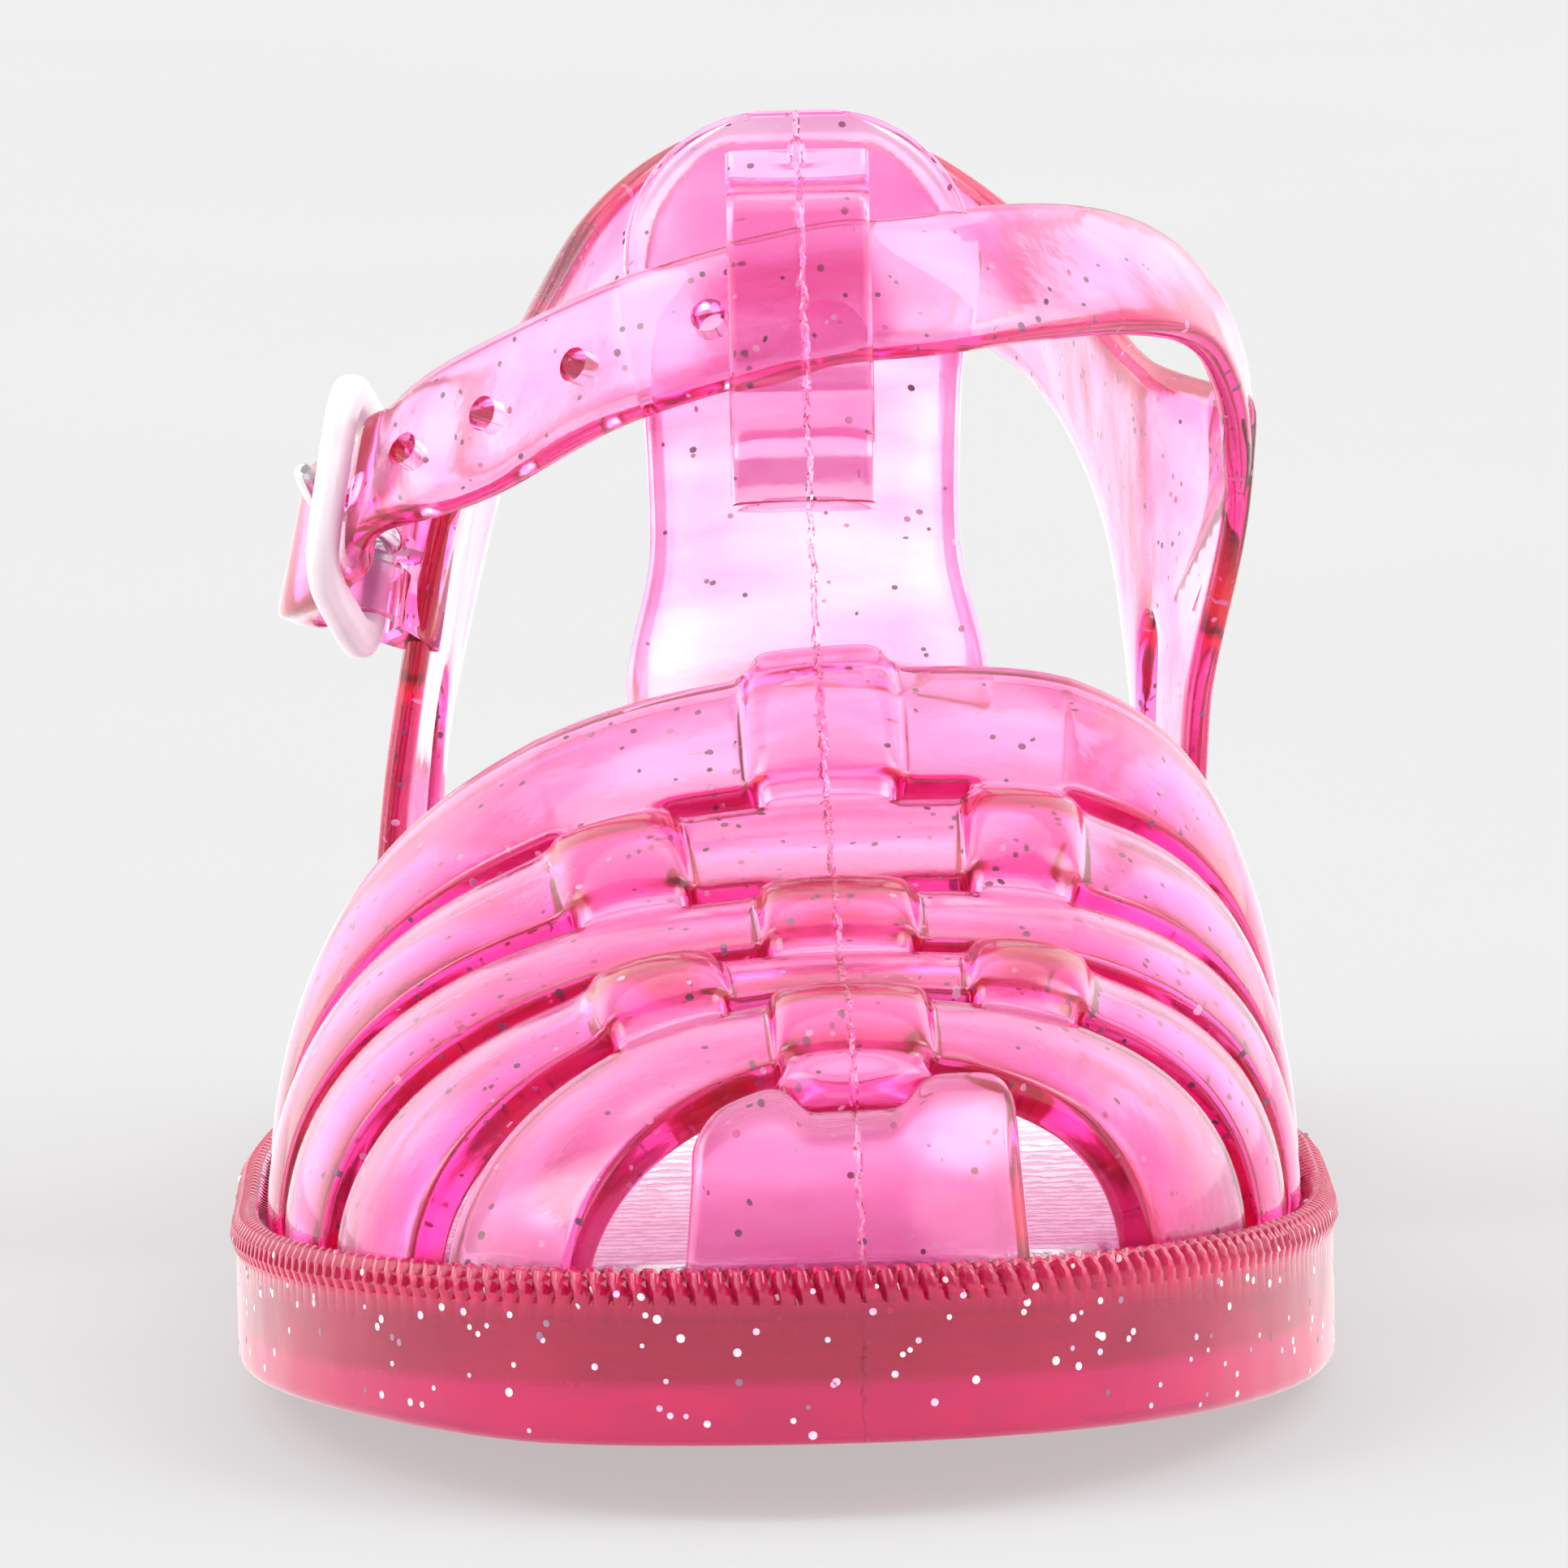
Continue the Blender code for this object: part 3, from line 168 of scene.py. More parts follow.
# Loop on the tongue for the ankle strap: place along the tongue and height over its face
LOOP_HALF = 5.0
LOOP_THICK = 1.2
LOOP_FREE, LOOP_SINK = 1.0, 0.8
BAND_EDGE = 0.4
# Columns: up, height over the face
LOOP = np.array([
    (56.5, -1.1),
    (57.3, -0.5),
    (58.6, 0.1),
    (60.2, 0.4),
    (61.8, 1.6),
    (63.6, 3.1),
    (70.0, 3.4),
    (74.4, 3.1),
    (76.2, 1.6),
    (77.6, 0.3),
    (79.6, -0.6),
])
GATE_UP, GATE_HALF, GATE_RADIUS, GATE_OUT = 78.8, 1.7, 0.75, 0.55
GATE_END = 0.98

# Heel part: a row for each place around the heel, with the sole edge it stands over and its top
# Columns: side, base back, top x, top back, top up, curl, base inset
HEEL = np.array([
    (-1, 109.0, -23.2, 112.5, 56.0, 2.2, QUARTER_INSET),
    (-1, 128.0, -21.6, 131.0, 59.0, 2.2, 0.5),
    (-1, 147.0, -17.6, 149.0, 64.0, 2.2, 0.0),
    (-1, 166.0, -13.0, 165.0, 70.0, 2.2, 0.2),
    (-1, 179.0, -5.6, 174.6, 74.2, 2.0, 0.4),
    (1, 183.0, 2.0, 176.8, 75.2, 2.0, 0.4),
    (1, 179.0, 10.4, 174.2, 73.8, 2.0, 0.4),
    (1, 166.0, 18.6, 165.4, 69.4, 1.9, 0.2),
    (1, 147.0, 24.6, 148.0, 64.2, 1.7, 0.0),
    (1, 130.0, 29.0, 131.0, 60.6, 1.5, 0.0),
    (1, 112.0, 33.4, 117.4, 59.6, 1.4, 0.0),
])
# Side slots: front end and rear end behind the toe tip, and top
SLOT_OUTER, SLOT_INNER = (127.0, 134.0, 39.0), (125.0, 132.0, 42.0)
WINDOW_OUTER_BACK, WINDOW_INNER_BACK = 141.0, 137.0
WINDOW_TOP, WINDOW_SIDE = 60.5, 7.0
WINDOW_OUTER_POWER, WINDOW_INNER_POWER = 3.0, 1.9
CUP_TOP = 26.0
SLOT_ROUND = 2.6
QUARTER_PUSH, QUARTER_PUSH_PLACE = 2.0, 8.8
QUARTER_PUSH_LOW, QUARTER_PUSH_HIGH = 37.0, 52.0

# Buckle frame: an oval ring around its own middle, with the strap's run as its first axis
BUCKLE_X, BUCKLE_BACK, BUCKLE_UP = -29.3, 107.0, 53.3
BUCKLE_RUN = np.array((0.223, 0.80, -0.554))
BUCKLE_RISE = np.array((0.139, 0.536, 0.833))
BUCKLE_REACH, BUCKLE_HALF_HEIGHT = 6.4, 7.6
BUCKLE_POWER = 5.0
BAR_WIDE, BAR_THICK = 2.9, 2.1
BAR_EDGE = 0.7
PRONG_RADIUS = 0.75
# Columns: run, out, radius
PRONG = np.array([
    (-7.4, 1.75, 0.40),
    (-6.9, 1.95, 0.65),
    (-5.8, 2.05, 0.75),
    (-2.9, 2.05, 0.75),
    (-1.3, 1.20, 0.75),
    (0.4, -0.50, 0.75),
    (1.9, -1.50, 0.75),
    (3.3, -1.75, 0.75),
])
PRONG_RING = BAR_WIDE / 2 + GAP + PRONG_RADIUS
PRONG_RISE = 0.0
PRONG_HOOK_START, PRONG_HOOK_END = 215, -20
KEEPER_HALF, KEEPER_SLOT_HALF, KEEPER_SLOT_END = 5.2, 1.3, 10.2
KEEPER_RADIUS, KEEPER_BORE = 2.5, BAR_WIDE / 2 + GAP
KEEPER_END_RUN, KEEPER_END_OUT, KEEPER_END_HALF = 10.9, -2.9, 1.1
KEEPER_SLOT_NEAR, KEEPER_SLOT_DEEP = 4.0, 4.5
KEEPER_BORE_PAST = 1.0

# Ankle strap: a row for each place along it, from the inner quarter over the tongue
# Columns: x, back, up, facing in degrees from the toe to the inner side, tilt in degrees, half width
STRAP = np.array([
    (30.2, 121.8, 44.0, 88.0, -8.0, 4.4),
    (33.3, 121.8, 52.0, 88.0, -4.0, 5.4),
    (33.3, 119.3, 59.4, 84.0, 10.0, 5.5),
    (31.3, 113.9, 65.0, 74.0, 30.0, 5.5),
    (28.4, 108.2, 68.4, 62.0, 40.0, 5.3),
    (24.0, 100.9, 70.3, 46.0, 40.0, 5.3),
    (18.0, 93.6, 71.0, 26.0, 38.0, 5.4),
    (10.6, 88.2, 70.6, 10.0, 37.0, 5.4),
    (2.6, 86.2, 69.9, 0.0, 37.0, 5.4),
    (-9.6, 88.0, 66.6, -14.0, 34.0, 5.4),
    (-19.6, 95.6, 61.2, -38.0, 22.0, 5.5),
])
# Its end in the buckle's own axes: along the run, up the rise, out from the foot
# Columns: run, rise, out, half width
STRAP_END = np.array([
    (-6.6, 0.0, -3.50, 5.5),
    (-1.6, 0.0, -0.90, 5.5),
    (2.4, 0.2, 2.60, 5.5),
    (6.6, 1.4, 5.40, 5.5),
    (11.0, 3.2, 6.80, 5.5),
    (15.6, 5.2, 7.60, 5.5),
    (20.0, 7.0, 7.60, 5.2),
    (23.4, 8.2, 7.00, 3.2),
])
STRAP_END_TURN, STRAP_END_TURN_ROW, STRAP_END_TURN_RUN = 15.0, 2, 9.0
STRAP_THICK = 2.3
STRAP_TIP_ROWS, STRAP_TIP_POWER, STRAP_TIP_LEAST = 0.9, 2.4, 0.02
STRAP_ROOT_ROWS, STRAP_ROOT_THIN = 1.8, 0.06
STRAP_LOOP_LIFT, STRAP_LOOP_ROW, STRAP_LOOP_RUN = 0.45, 8.0, 1.2
HOLE_RADIUS = 1.25
HOLE_ROWS = (8.52, 9.28, 9.95, 10.62)
# Hole for the prong in the buckle's own axes: ends on the run, half width on the rise, and ends outward
PRONG_HOLE = (-2.7, 2.0, 1.1)
PRONG_HOLE_REACH = (-3.0, 4.5)

# Tread: shallow bars across the forefoot and the heel
TREAD_STARTS = (66.0, 73.0, 80.0, 138.0, 146.0, 154.0, 162.0)
TREAD_WIDE, TREAD_DEEP, TREAD_INSET = 2.4, 1.1, 9.0
TREAD_CUT_LOW = -2.0
BOX_SIDES = 4

# Fineness of the visible meshes
SUBDIVISIONS = 2
FINE_ARCH, FINE_STRIP, FINE_SPACE = 8, 4, 3
FINE_STATIONS = (0.0, 0.05, 0.2, 0.5, 0.8, 0.95, 1.0)
LIP_ROWS = (0.0, 0.5, 0.85, 1.0)
FINE_RIBS = 320
POINTS_PER_RIB = 8
FINE_OUTLINE_STEPS, FINE_INSOLE_STEPS, FINE_MARGIN_STEPS = 400, 400, 200
FINE_BOTTOM_STEPS = 6
FINE_SIDE_SHARES = (0.25, 0.5, 0.75)
FINE_TONGUE_ROWS, FINE_TONGUE_TOP_ROWS = 16, 8
FINE_BAND_SIDES, FINE_LOOP_STEPS = 24, 60
FINE_GATE_STEPS, FINE_GATE_SIDES = 14, 16
FINE_STRAP_STEPS = 260
FINE_TIP_STEPS, FINE_TIP_ROWS, FINE_TIP_START = 10, 0.2, 0.9
FINE_HOLE_SIDES = 32
FINE_BUCKLE_STEPS, FINE_BAR_SIDES = 120, 20
FINE_PRONG_STEPS, FINE_PRONG_SIDES, FINE_HOOK_STEPS = 90, 20, 10
FINE_KEEPER_SIDES = 48
KEEPER_FIRST_SIDE, KEEPER_LAST_SIDE = 3, 39
FINE_TAB_COLUMNS, FINE_TAB_ROWS = 20, 6
FINE_PILLAR_STEPS, FINE_SLOT_STEPS, FINE_POST_STEPS, FINE_WINDOW_STEPS = 7, 6, 3, 24
FINE_CUP_ROWS, FINE_OPEN_ROWS, FINE_COLLAR_ROWS = 4, 8, 5
SHARP_ANGLE, ROD_SHARP_ANGLE = 50.0, 60.0

# Welt: a rope-like rim, with how much of the rib's depth each line of it takes
# Columns: inset, up, share of the rib depth
WELT = (
    (0.00, 9.30, 0.0),
    (-0.20, 9.75, 0.2),
    (-0.40, 10.40, 0.9),
    (-0.25, 11.20, 1.0),
    (0.25, 11.85, 1.0),
    (0.85, 12.10, 1.0),
    (1.35, 11.90, 1.0),
    (1.50, 11.40, 0.4),
)
WELT_RIB_DEPTH, WELT_RIB_SINK, WELT_RIB_POWER = 0.85, 0.6, 5.0
WELT_SLANT = -0.22

# Glitter flakes
UPPER_FLAKES, SOLE_FLAKES = 1700, 4200
FLAKE_RADIUS_LOW, FLAKE_RADIUS_HIGH = 0.15, 0.30
FLAKE_THICK = 0.03
FLAKE_CLEAR = 0.2
FLAKE_SIDES = 8
FLAKE_TILT = 0.35
UPRIGHT = 0.35
UPPER_FLAKE_DEPTH = (0.3, 1.4)
UPPER_DARK_SHARE, SOLE_DARK_SHARE = 0.5, 0.15
SEED = 11

# Camera: distance and height over the toe, downward angle, roll, and focal length in image widths
VIEW_DISTANCE, VIEW_RAISE = 1000.0, 43.1
VIEW_DOWN, VIEW_ROLL = 7.5, 1.2
VIEW_TARGET_X = 0.6
IMAGE_SIZE = 1932
FOCAL_PIXELS = 19150.0
SENSOR = 36.0
VIEW_FAR = 100.0

# Mould seam down the middle: x at both ends of its reach along the shoe, half width and height
SEAM_REACH = (-93.0, 1.0)
SEAM_TOE_X, SEAM_THROAT_X = 5.0, 2.4
SEAM_HALF, SEAM_HIGH = 0.18, 0.09

# Plastics: colours at the surface, whose near-white streaks in the upper stand in for sheen as a painted
# highlight, colour that passes through the depth, and height of the waves in metres
UPPER_JELLY = {
    "tone_and_sheen": ((0.95, 0.57, 0.78), (0.985, 0.90, 0.955)),
    "passed": (0.93, 0.0, 0.60),
    "density": 265.0,
    "clear": 0.98,
    "wave": 0.00025,
}
SOLE_JELLY = {
    "tone_and_sheen": ((0.62, 0.020, 0.115), (0.70, 0.026, 0.135)),
    "passed": (0.97, 0.0, 0.5),
    "density": 120.0,
    "clear": 0.66,
    "wave": 0.0004,
    # Colour of the sole's lower band: painted light from the floor
    "painted_floor_light": (0.95, 0.020, 0.23),
}
JELLY_BEND = 1.5
# Lighter colour of the welt band: painted light that offsets the shade of its ribs
WELT_PAINTED_LIGHT = (0.80, 0.023, 0.155)
# Heights in metres between which the sole's colour changes: the painted lighter welt near its top and the
# painted floor light on its lower band
WELT_LOW_UP, WELT_HIGH_UP = 0.0088, 0.0096
SOLE_LOW_UP, SOLE_HIGH_UP = 0.0042, 0.0050

# Textures: scales are waves in a metre, heights are in metres
# Streaks of surface colour, random in place; the upper's near-white pale end is a painted sheen
STREAKS, STREAK_SCALE, STREAK_DETAIL = (0.3, 1.0, 1.0), 190.0, 4.0
STREAK_LOW, STREAK_HIGH = 0.38, 0.62
WAVE_SCALE = 70.0
GRAIN_SCALE, GRAIN_DETAIL, GRAIN_HIGH = 900.0, 3.0, 0.000012
SEAM_SCALE, SEAM_RAGGED = 700.0, (0.3, 0.7)
# Footbed ridge colours: a pinkish tone, with pale dashes that are painted glints
FOOTBED_TONES_AND_GLINTS = ((0.2, (0.66, 0.44, 0.53)), (0.6, (0.86, 0.82, 0.85)))
FOOTBED_ROWS = {"Scale": 110.0, "Distortion": 5.0, "Detail": 3.0, "Detail Scale": 6.0}
FOOTBED_HIGH = 0.0005
BUCKLE_TONES = ((0.59, 0.525, 0.555), (0.65, 0.585, 0.615))
BUCKLE_SOFT_DEPTH = 0.003
BUCKLE_TONE_SCALE, STEEL_TONE_SCALE, FLAKE_TONE_SCALE, FLOOR_TONE_SCALE = 160.0, 900.0, 800.0, 6.0
BUCKLE_SCALE, BUCKLE_HIGH = 350.0, 0.0001
STEEL_TONES = ((0.62, 0.62, 0.64), (0.78, 0.78, 0.80))
FOILS = {
    "glitter_silver": ((0.95, 0.45, 0.66), (1.0, 0.96, 0.98)),
    "glitter_dark": ((0.20, 0.10, 0.17), (0.36, 0.20, 0.30)),
}
FLOOR_TONES = ((0.165, 0.165, 0.165), (0.17, 0.17, 0.17))
TABLE_TONES = ((0.25, 0.25, 0.25), (0.27, 0.27, 0.27))
FLOOR_TONE_RANGE = (0.3, 0.7)
FLOOR_GLOW, TABLE_GLOW = 0.47, 0.76
# Columns: noise scale, lowest, highest
JELLY_ROUGH = (260.0, 0.04, 0.16)
FOOTBED_ROUGH = (300.0, 0.35, 0.5)
BUCKLE_ROUGH = (400.0, 0.18, 0.3)
STEEL_ROUGH = (1500.0, 0.12, 0.25)
FLAKE_ROUGH = (1500.0, 0.25, 0.45)

# Studio: floor size and height, even light from all sides, and the soft bright fields in it
FLOOR_HALF, FLOOR_UP, TABLE_UP = 8.0, -0.3, -0.6
WORLD_FRONT, WORLD_BACK = 0.45, 1.0
WORLD_BLEND = (-1.0, 0.6)
# Columns: direction, cosine at the field's rim, cosine where it is full, added strength
SIDE_FIELDS = (
    ((0.85, -0.25, 0.45), 0.84, 0.88, 2.0),
    ((0.95, 0.40, 0.10), 0.70, 0.90, 0.7),
    ((0.60, 0.76, 0.25), 0.88, 0.97, 0.8),
    ((0.62, -0.12, 0.78), 0.940, 0.995, 5.5),
)
MIDDLE_FIELDS = (
    ((0.0, 0.15, 0.99), 0.87, 0.91, 1.3),
    ((0.0, 0.50, 0.85), 0.60, 0.90, 0.4),
)
LIGHT_BOUNCES, CLEAR_BOUNCES = 32, 16


def slopes(x, y):
    """Slopes of a curve through points that never overshoots them."""
    h = np.diff(x)
    d = np.diff(y) / h
    m = np.empty_like(y)
    m[0], m[-1] = d[0], d[-1]
    same = d[:-1] * d[1:] > 0
    weight = np.where(same, d[:-1] * d[1:], 0.0)
    total = np.where(same, d[:-1] + d[1:], 1.0)
    m[1:-1] = 2 * weight / total
    return m


def cubic(t):
    """Shares of the first value and slope and of the last value and slope in a cubic curve."""
    return (1 + 2 * t) * (1 - t) ** 2, t * (1 - t) ** 2, t * t * (3 - 2 * t), t * t * (t - 1)


def curve(x, y, at):
    """Smooth value at the given places of a curve through (x, y)."""
    x, y, at = np.asarray(x, float), np.asarray(y, float), np.asarray(at, float)
    m = slopes(x, y)
    i = np.clip(np.searchsorted(x, at, side="right") - 1, 0, len(x) - 2)
    h = x[i + 1] - x[i]
    a, b, c, d = cubic(np.clip((at - x[i]) / h, 0.0, 1.0))
    return a * y[i] + b * h * m[i] + c * y[i + 1] + d * h * m[i + 1]


def natural(values, at):
    """Even cubic curve through values at whole places, with slopes from both neighbours."""
    values, at = np.asarray(values, float), np.asarray(at, float)
    slope = np.gradient(values)
    i = np.clip(np.floor(at).astype(int), 0, len(values) - 2)
    a, b, c, d = cubic(at - i)
    return a * values[i] + b * slope[i] + c * values[i + 1] + d * slope[i + 1]


def arc(t, power, least=0.0):
    """Width of a round end, which falls from 1 to about 0 as t goes from 0 to 1."""
    return np.maximum(1 - t ** power, least) ** (1 / power)


def table(rows, at):
    """All columns of a table at fractional row numbers."""
    places = np.arange(len(rows))
    return np.stack([curve(places, rows[:, k], at) for k in range(rows.shape[1])], axis=-1)


def smooth(t):
    t = np.clip(t, 0.0, 1.0)
    return t * t * (3 - 2 * t)


def unit(v):
    v = np.asarray(v, float)
    return v / np.linalg.norm(v, axis=-1, keepdims=True)


def around(count):
    """Even angles once round a circle."""
    return np.linspace(0, 2 * math.pi, count, endpoint=False)


def bulge(v, power):
    """Power of a value that keeps its sign."""
    return np.sign(v) * np.abs(v) ** power


def beside(loop):
    """Directions square to a closed loop in its own plane, all to the same side of it."""
    along = unit(np.roll(loop, -1, axis=0) - np.roll(loop, 1, axis=0))
    return np.column_stack([along[:, 1], -along[:, 0]])


def grid_normals(grid):
    """Directions square to a grid of points."""
    return unit(np.cross(np.gradient(grid, axis=1), np.gradient(grid, axis=0)))


def toe_lift(back):
    return TOE_LIFT * np.clip(1 - np.asarray(back) / TOE_LIFT_LENGTH, 0, 1) ** TOE_LIFT_POWER


def top_lift(back):
    """How far the sole's top lies over its level at the ball."""
    heel = smooth((np.asarray(back) - HEEL_LIFT_START) / (HEEL_LIFT_END - HEEL_LIFT_START))
    return toe_lift(back) + HEEL_LIFT * heel


def bottom_lift(back):
    t = np.clip((np.asarray(back) - ARCH_START) / (ARCH_END - ARCH_START), 0, 1)
    return toe_lift(back) + ARCH_LIFT * np.sin(math.pi * t) ** 2


def edge_lift(x, back):
    """How far the bottom's edge stays over the floor, most at the outer side of the toe."""
    outer = smooth((-x - OUTER_EDGE_START) / (OUTER_EDGE_END - OUTER_EDGE_START))
    fade = 1 - smooth((back - OUTER_EDGE_FADE_START) / (OUTER_EDGE_FADE_END - OUTER_EDGE_FADE_START))
    return EDGE_LIFT + OUTER_EDGE_LIFT * outer * fade


def edge_x(side, back):
    """Sole edge at a distance behind the toe tip, on the outer (-1) or inner (+1) side."""
    breadth = curve(OUTLINE[:, 0], OUTLINE[:, 1 if side < 0 else 2], back)
    toe = np.clip(1 - back / TOE_ROUND, 0, 1)
    heel = np.clip(1 - (LENGTH - back) / HEEL_ROUND, 0, 1)
    x = TOE_X * toe ** 2 + HEEL_X * heel ** 2
    return x + (side * breadth - x) * arc(toe, TOE_POWER) * arc(heel, HEEL_POWER)


def fine_outline(inset):
    """Closed outline moved in from the sole's edge, outer side first, as (x, back)."""
    t = np.linspace(0, math.pi, FINE_OUTLINE_STEPS)
    back = LENGTH * (1 - np.cos(t)) / 2
    outer = np.column_stack([edge_x(-1, back), back])
    inner = np.column_stack([edge_x(1, back), back])[-2:0:-1]
    loop = np.vstack([outer, inner])
    return loop + inset * beside(loop)


def outline(count, inset):
    """Points at even distances along the moved-in outline, the first at the toe tip."""
    loop = fine_outline(inset)
    closed = np.vstack([loop, loop[:1]])
    run = np.concatenate([[0], np.cumsum(np.linalg.norm(np.diff(closed, axis=0), axis=1))])
    at = np.linspace(0, run[-1], count, endpoint=False)
    return np.column_stack([np.interp(at, run, closed[:, k]) for k in range(2)])


def inset_x(side, back, inset):
    """x of the moved-in outline on one side at a distance behind the toe tip."""
    loop = fine_outline(inset)
    half = len(loop) // 2
    run = loop[: half + 1] if side < 0 else np.vstack([loop[:1], loop[:half - 1:-1]])
    run = run[np.argsort(run[:, 1])]
    return np.interp(back, run[:, 1], run[:, 0])


def place(x, back, up):
    """World points in millimetres from shoe places."""
    x, back, up = np.broadcast_arrays(x, back, up)
    return np.stack([x, back - LENGTH / 2, up], axis=-1).astype(float)


def add_mesh(name, points, faces):
    """A closed mesh object with its faces turned out."""
    mesh = bpy.data.meshes.new(name)
    mesh.from_pydata([tuple(p) for p in np.asarray(points) * MM], [], faces)
    shape = bmesh.new()
    shape.from_mesh(mesh)
    bmesh.ops.recalc_face_normals(shape, faces=shape.faces)
    shape.to_mesh(mesh)
    shape.free()
    thing = bpy.data.objects.new(name, mesh)
    bpy.context.scene.collection.objects.link(thing)
    return thing


def shell(name, outer, inner, solid):
    """A wall between two point grids, built only where cells are solid."""
    rows, columns = solid.shape
    points = np.vstack([outer.reshape(-1, 3), inner.reshape(-1, 3)])
    skip = outer.shape[0] * outer.shape[1]

    def out(i, j):
        return i * (columns + 1) + j

    def filled(i, j):
        return 0 <= i < rows and 0 <= j < columns and solid[i, j]

    faces = []
    for i, j in zip(*np.nonzero(solid)):
        ring = (out(i, j), out(i, j + 1), out(i + 1, j + 1), out(i + 1, j))
        faces.append(ring)
        faces.append(tuple(skip + k for k in reversed(ring)))
        near = ((i - 1, j), (i, j + 1), (i + 1, j), (i, j - 1))
        for k, cell in enumerate(near):
            if not filled(*cell):
                a, b = ring[k], ring[(k + 1) % 4]
                faces.append((b, a, skip + a, skip + b))
    used = sorted({k for face in faces for k in face})
    order = {k: n for n, k in enumerate(used)}
    return add_mesh(name, points[used], [tuple(order[k] for k in face) for face in faces])


def quads(first, second, count):
    """Faces between two closed loops with the same number of points."""
    faces = []
    for i in range(count):
        n = (i + 1) % count
        faces.append((first + i, first + n, second + n, second + i))
    return faces


def prism_faces(start, sides):
    """Faces of a prism between two loops of points that follow each other."""
    first = tuple(start + j for j in reversed(range(sides)))
    second = tuple(start + sides + j for j in range(sides))
    return [first, second] + quads(start, start + sides, sides)


def sweep(name, rings, closed=False):
    """A solid through rings of points, capped at both ends unless it closes on itself."""
    rings = np.asarray(rings)
    count, sides = rings.shape[:2]
    faces = []
    for i in range(count if closed else count - 1):
        faces += quads(i * sides, (i + 1) % count * sides, sides)
    if not closed:
        faces.append(tuple(range(sides)))
        faces.append(tuple((count - 1) * sides + j for j in range(sides)))
    return add_mesh(name, rings.reshape(-1, 3), faces)


def ladder(start, count):
    """Faces across a closed loop of points, from its outer side to its inner side."""
    faces = [(start, start + 1, start + count - 1)]
    for i in range(1, count // 2 - 1):
        faces.append((start + i, start + i + 1, start + count - i - 1, start + count - i))
    half = count // 2
    faces.append((start + half - 1, start + half, start + half + 1))
    return faces


def apply_modifiers(thing):
    """Makes the evaluated shape the piece's own mesh."""
    shapes = bpy.context.evaluated_depsgraph_get()
    mesh = bpy.data.meshes.new_from_object(thing.evaluated_get(shapes))
    thing.modifiers.clear()
    thing.data = mesh
    return thing


def rounded(thing, levels=SUBDIVISIONS):
    """Rounds a piece by subdividing it."""
    step = thing.modifiers.new("round", "SUBSURF")
    step.levels = levels
    step.render_levels = levels
    return apply_modifiers(thing)


def combine(target, tool, operation):
    """Joins a tool to the target, or cuts it away."""
    step = target.modifiers.new(tool.name, "BOOLEAN")
    step.operation = operation
    step.solver = "MANIFOLD"
    step.object = tool
    apply_modifiers(target)
    bpy.data.objects.remove(tool, do_unlink=True)
    return target


def smooth_faces(thing, angle):
    """Shades round faces smooth and keeps creases over an angle in degrees."""
    thing.data.shade_smooth()
    thing.data.set_sharp_from_angle(angle=math.radians(angle))
    return thing


def stack(name, loops):
    """A solid through closed loops with the same number of points, flat at both ends."""
    count = len(loops[0])
    faces = ladder(0, count)
    for k in range(len(loops) - 1):
        faces += quads(k * count, (k + 1) * count, count)
    faces += ladder((len(loops) - 1) * count, count)
    return add_mesh(name, np.vstack(loops), faces)


def level_loop(count, inset, base, up=0.0):
    """Closed loop inside the sole's edge that follows the lift of the sole's top."""
    points = outline(count, inset)
    return place(points[:, 0], points[:, 1], top_lift(points[:, 1]) + base + up)


def welt_loops(count):
    """Closed loops of the rope-like rim, from its outer foot over its crown."""
    turns = 2 * math.pi * np.arange(count) / POINTS_PER_RIB
    loops = []
    for k, (inset, up, share) in enumerate(WELT):
        points = outline(count, inset)
        valley = (0.5 - 0.5 * np.cos(turns + 2 * math.pi * WELT_SLANT * k)) ** WELT_RIB_POWER
        deep = WELT_RIB_DEPTH * share * valley
        points = points + beside(points) * deep[:, None]
        lift = top_lift(points[:, 1]) + up - WELT_RIB_SINK * deep
        loops.append(place(points[:, 0], points[:, 1], lift))
    return loops


def make_sole():
    """Sole with a plain side, a rope-like welt and the upper's groove."""
    count = FINE_RIBS * POINTS_PER_RIB

    def low_loop(inset, up, edge):
        x, back = outline(count, inset).T
        return place(x, back, bottom_lift(back) + edge * edge_lift(x, back) + up)

    loops = [low_loop(FLAT_INSET, 0.0, 0.0)]
    for turn in np.linspace(0, math.pi / 2, FINE_BOTTOM_STEPS):
        inset = BOTTOM_ROUND * (1 - math.sin(turn))
        loops.append(low_loop(inset, BOTTOM_ROUND * (1 - math.cos(turn)), 1.0))
    low, high = loops[-1], welt_loops(count)
    loops += [low + (high[0] - low) * share for share in FINE_SIDE_SHARES]
    loops += high
    loops.append(level_loop(count, RIM_WIDTH, GROOVE_UP))
    loops.append(level_loop(count, PLATEAU_INSET, GROOVE_UP))
    loops.append(level_loop(count, PLATEAU_INSET, PLATEAU_UP))
    sole = combine(stack("clear_sole", loops), make_tread(), "DIFFERENCE")
    return smooth_faces(sole, SHARP_ANGLE)


def make_tread():
    """Shallow cutters across the sole's bottom."""
    points, faces = [], []
    for start in TREAD_STARTS:
        left = inset_x(-1, start, TREAD_INSET)
        right = inset_x(1, start, TREAD_INSET)
        corner = len(points)
        for up in (TREAD_CUT_LOW, TREAD_DEEP):
            end = start + TREAD_WIDE
            for x, back in ((left, start), (right, start), (right, end), (left, end)):
                points.append(place(x, back, up))
        faces += prism_faces(corner, BOX_SIDES)
    return add_mesh("tread_cut", np.array(points), faces)


def make_insole():
    """Footbed plate with a rounded edge."""
    loops = [level_loop(FINE_INSOLE_STEPS, INSOLE_INSET + inset, INSOLE_UP, up) for inset, up in INSOLE_EDGE]
    return smooth_faces(stack("footbed", loops), SHARP_ANGLE)


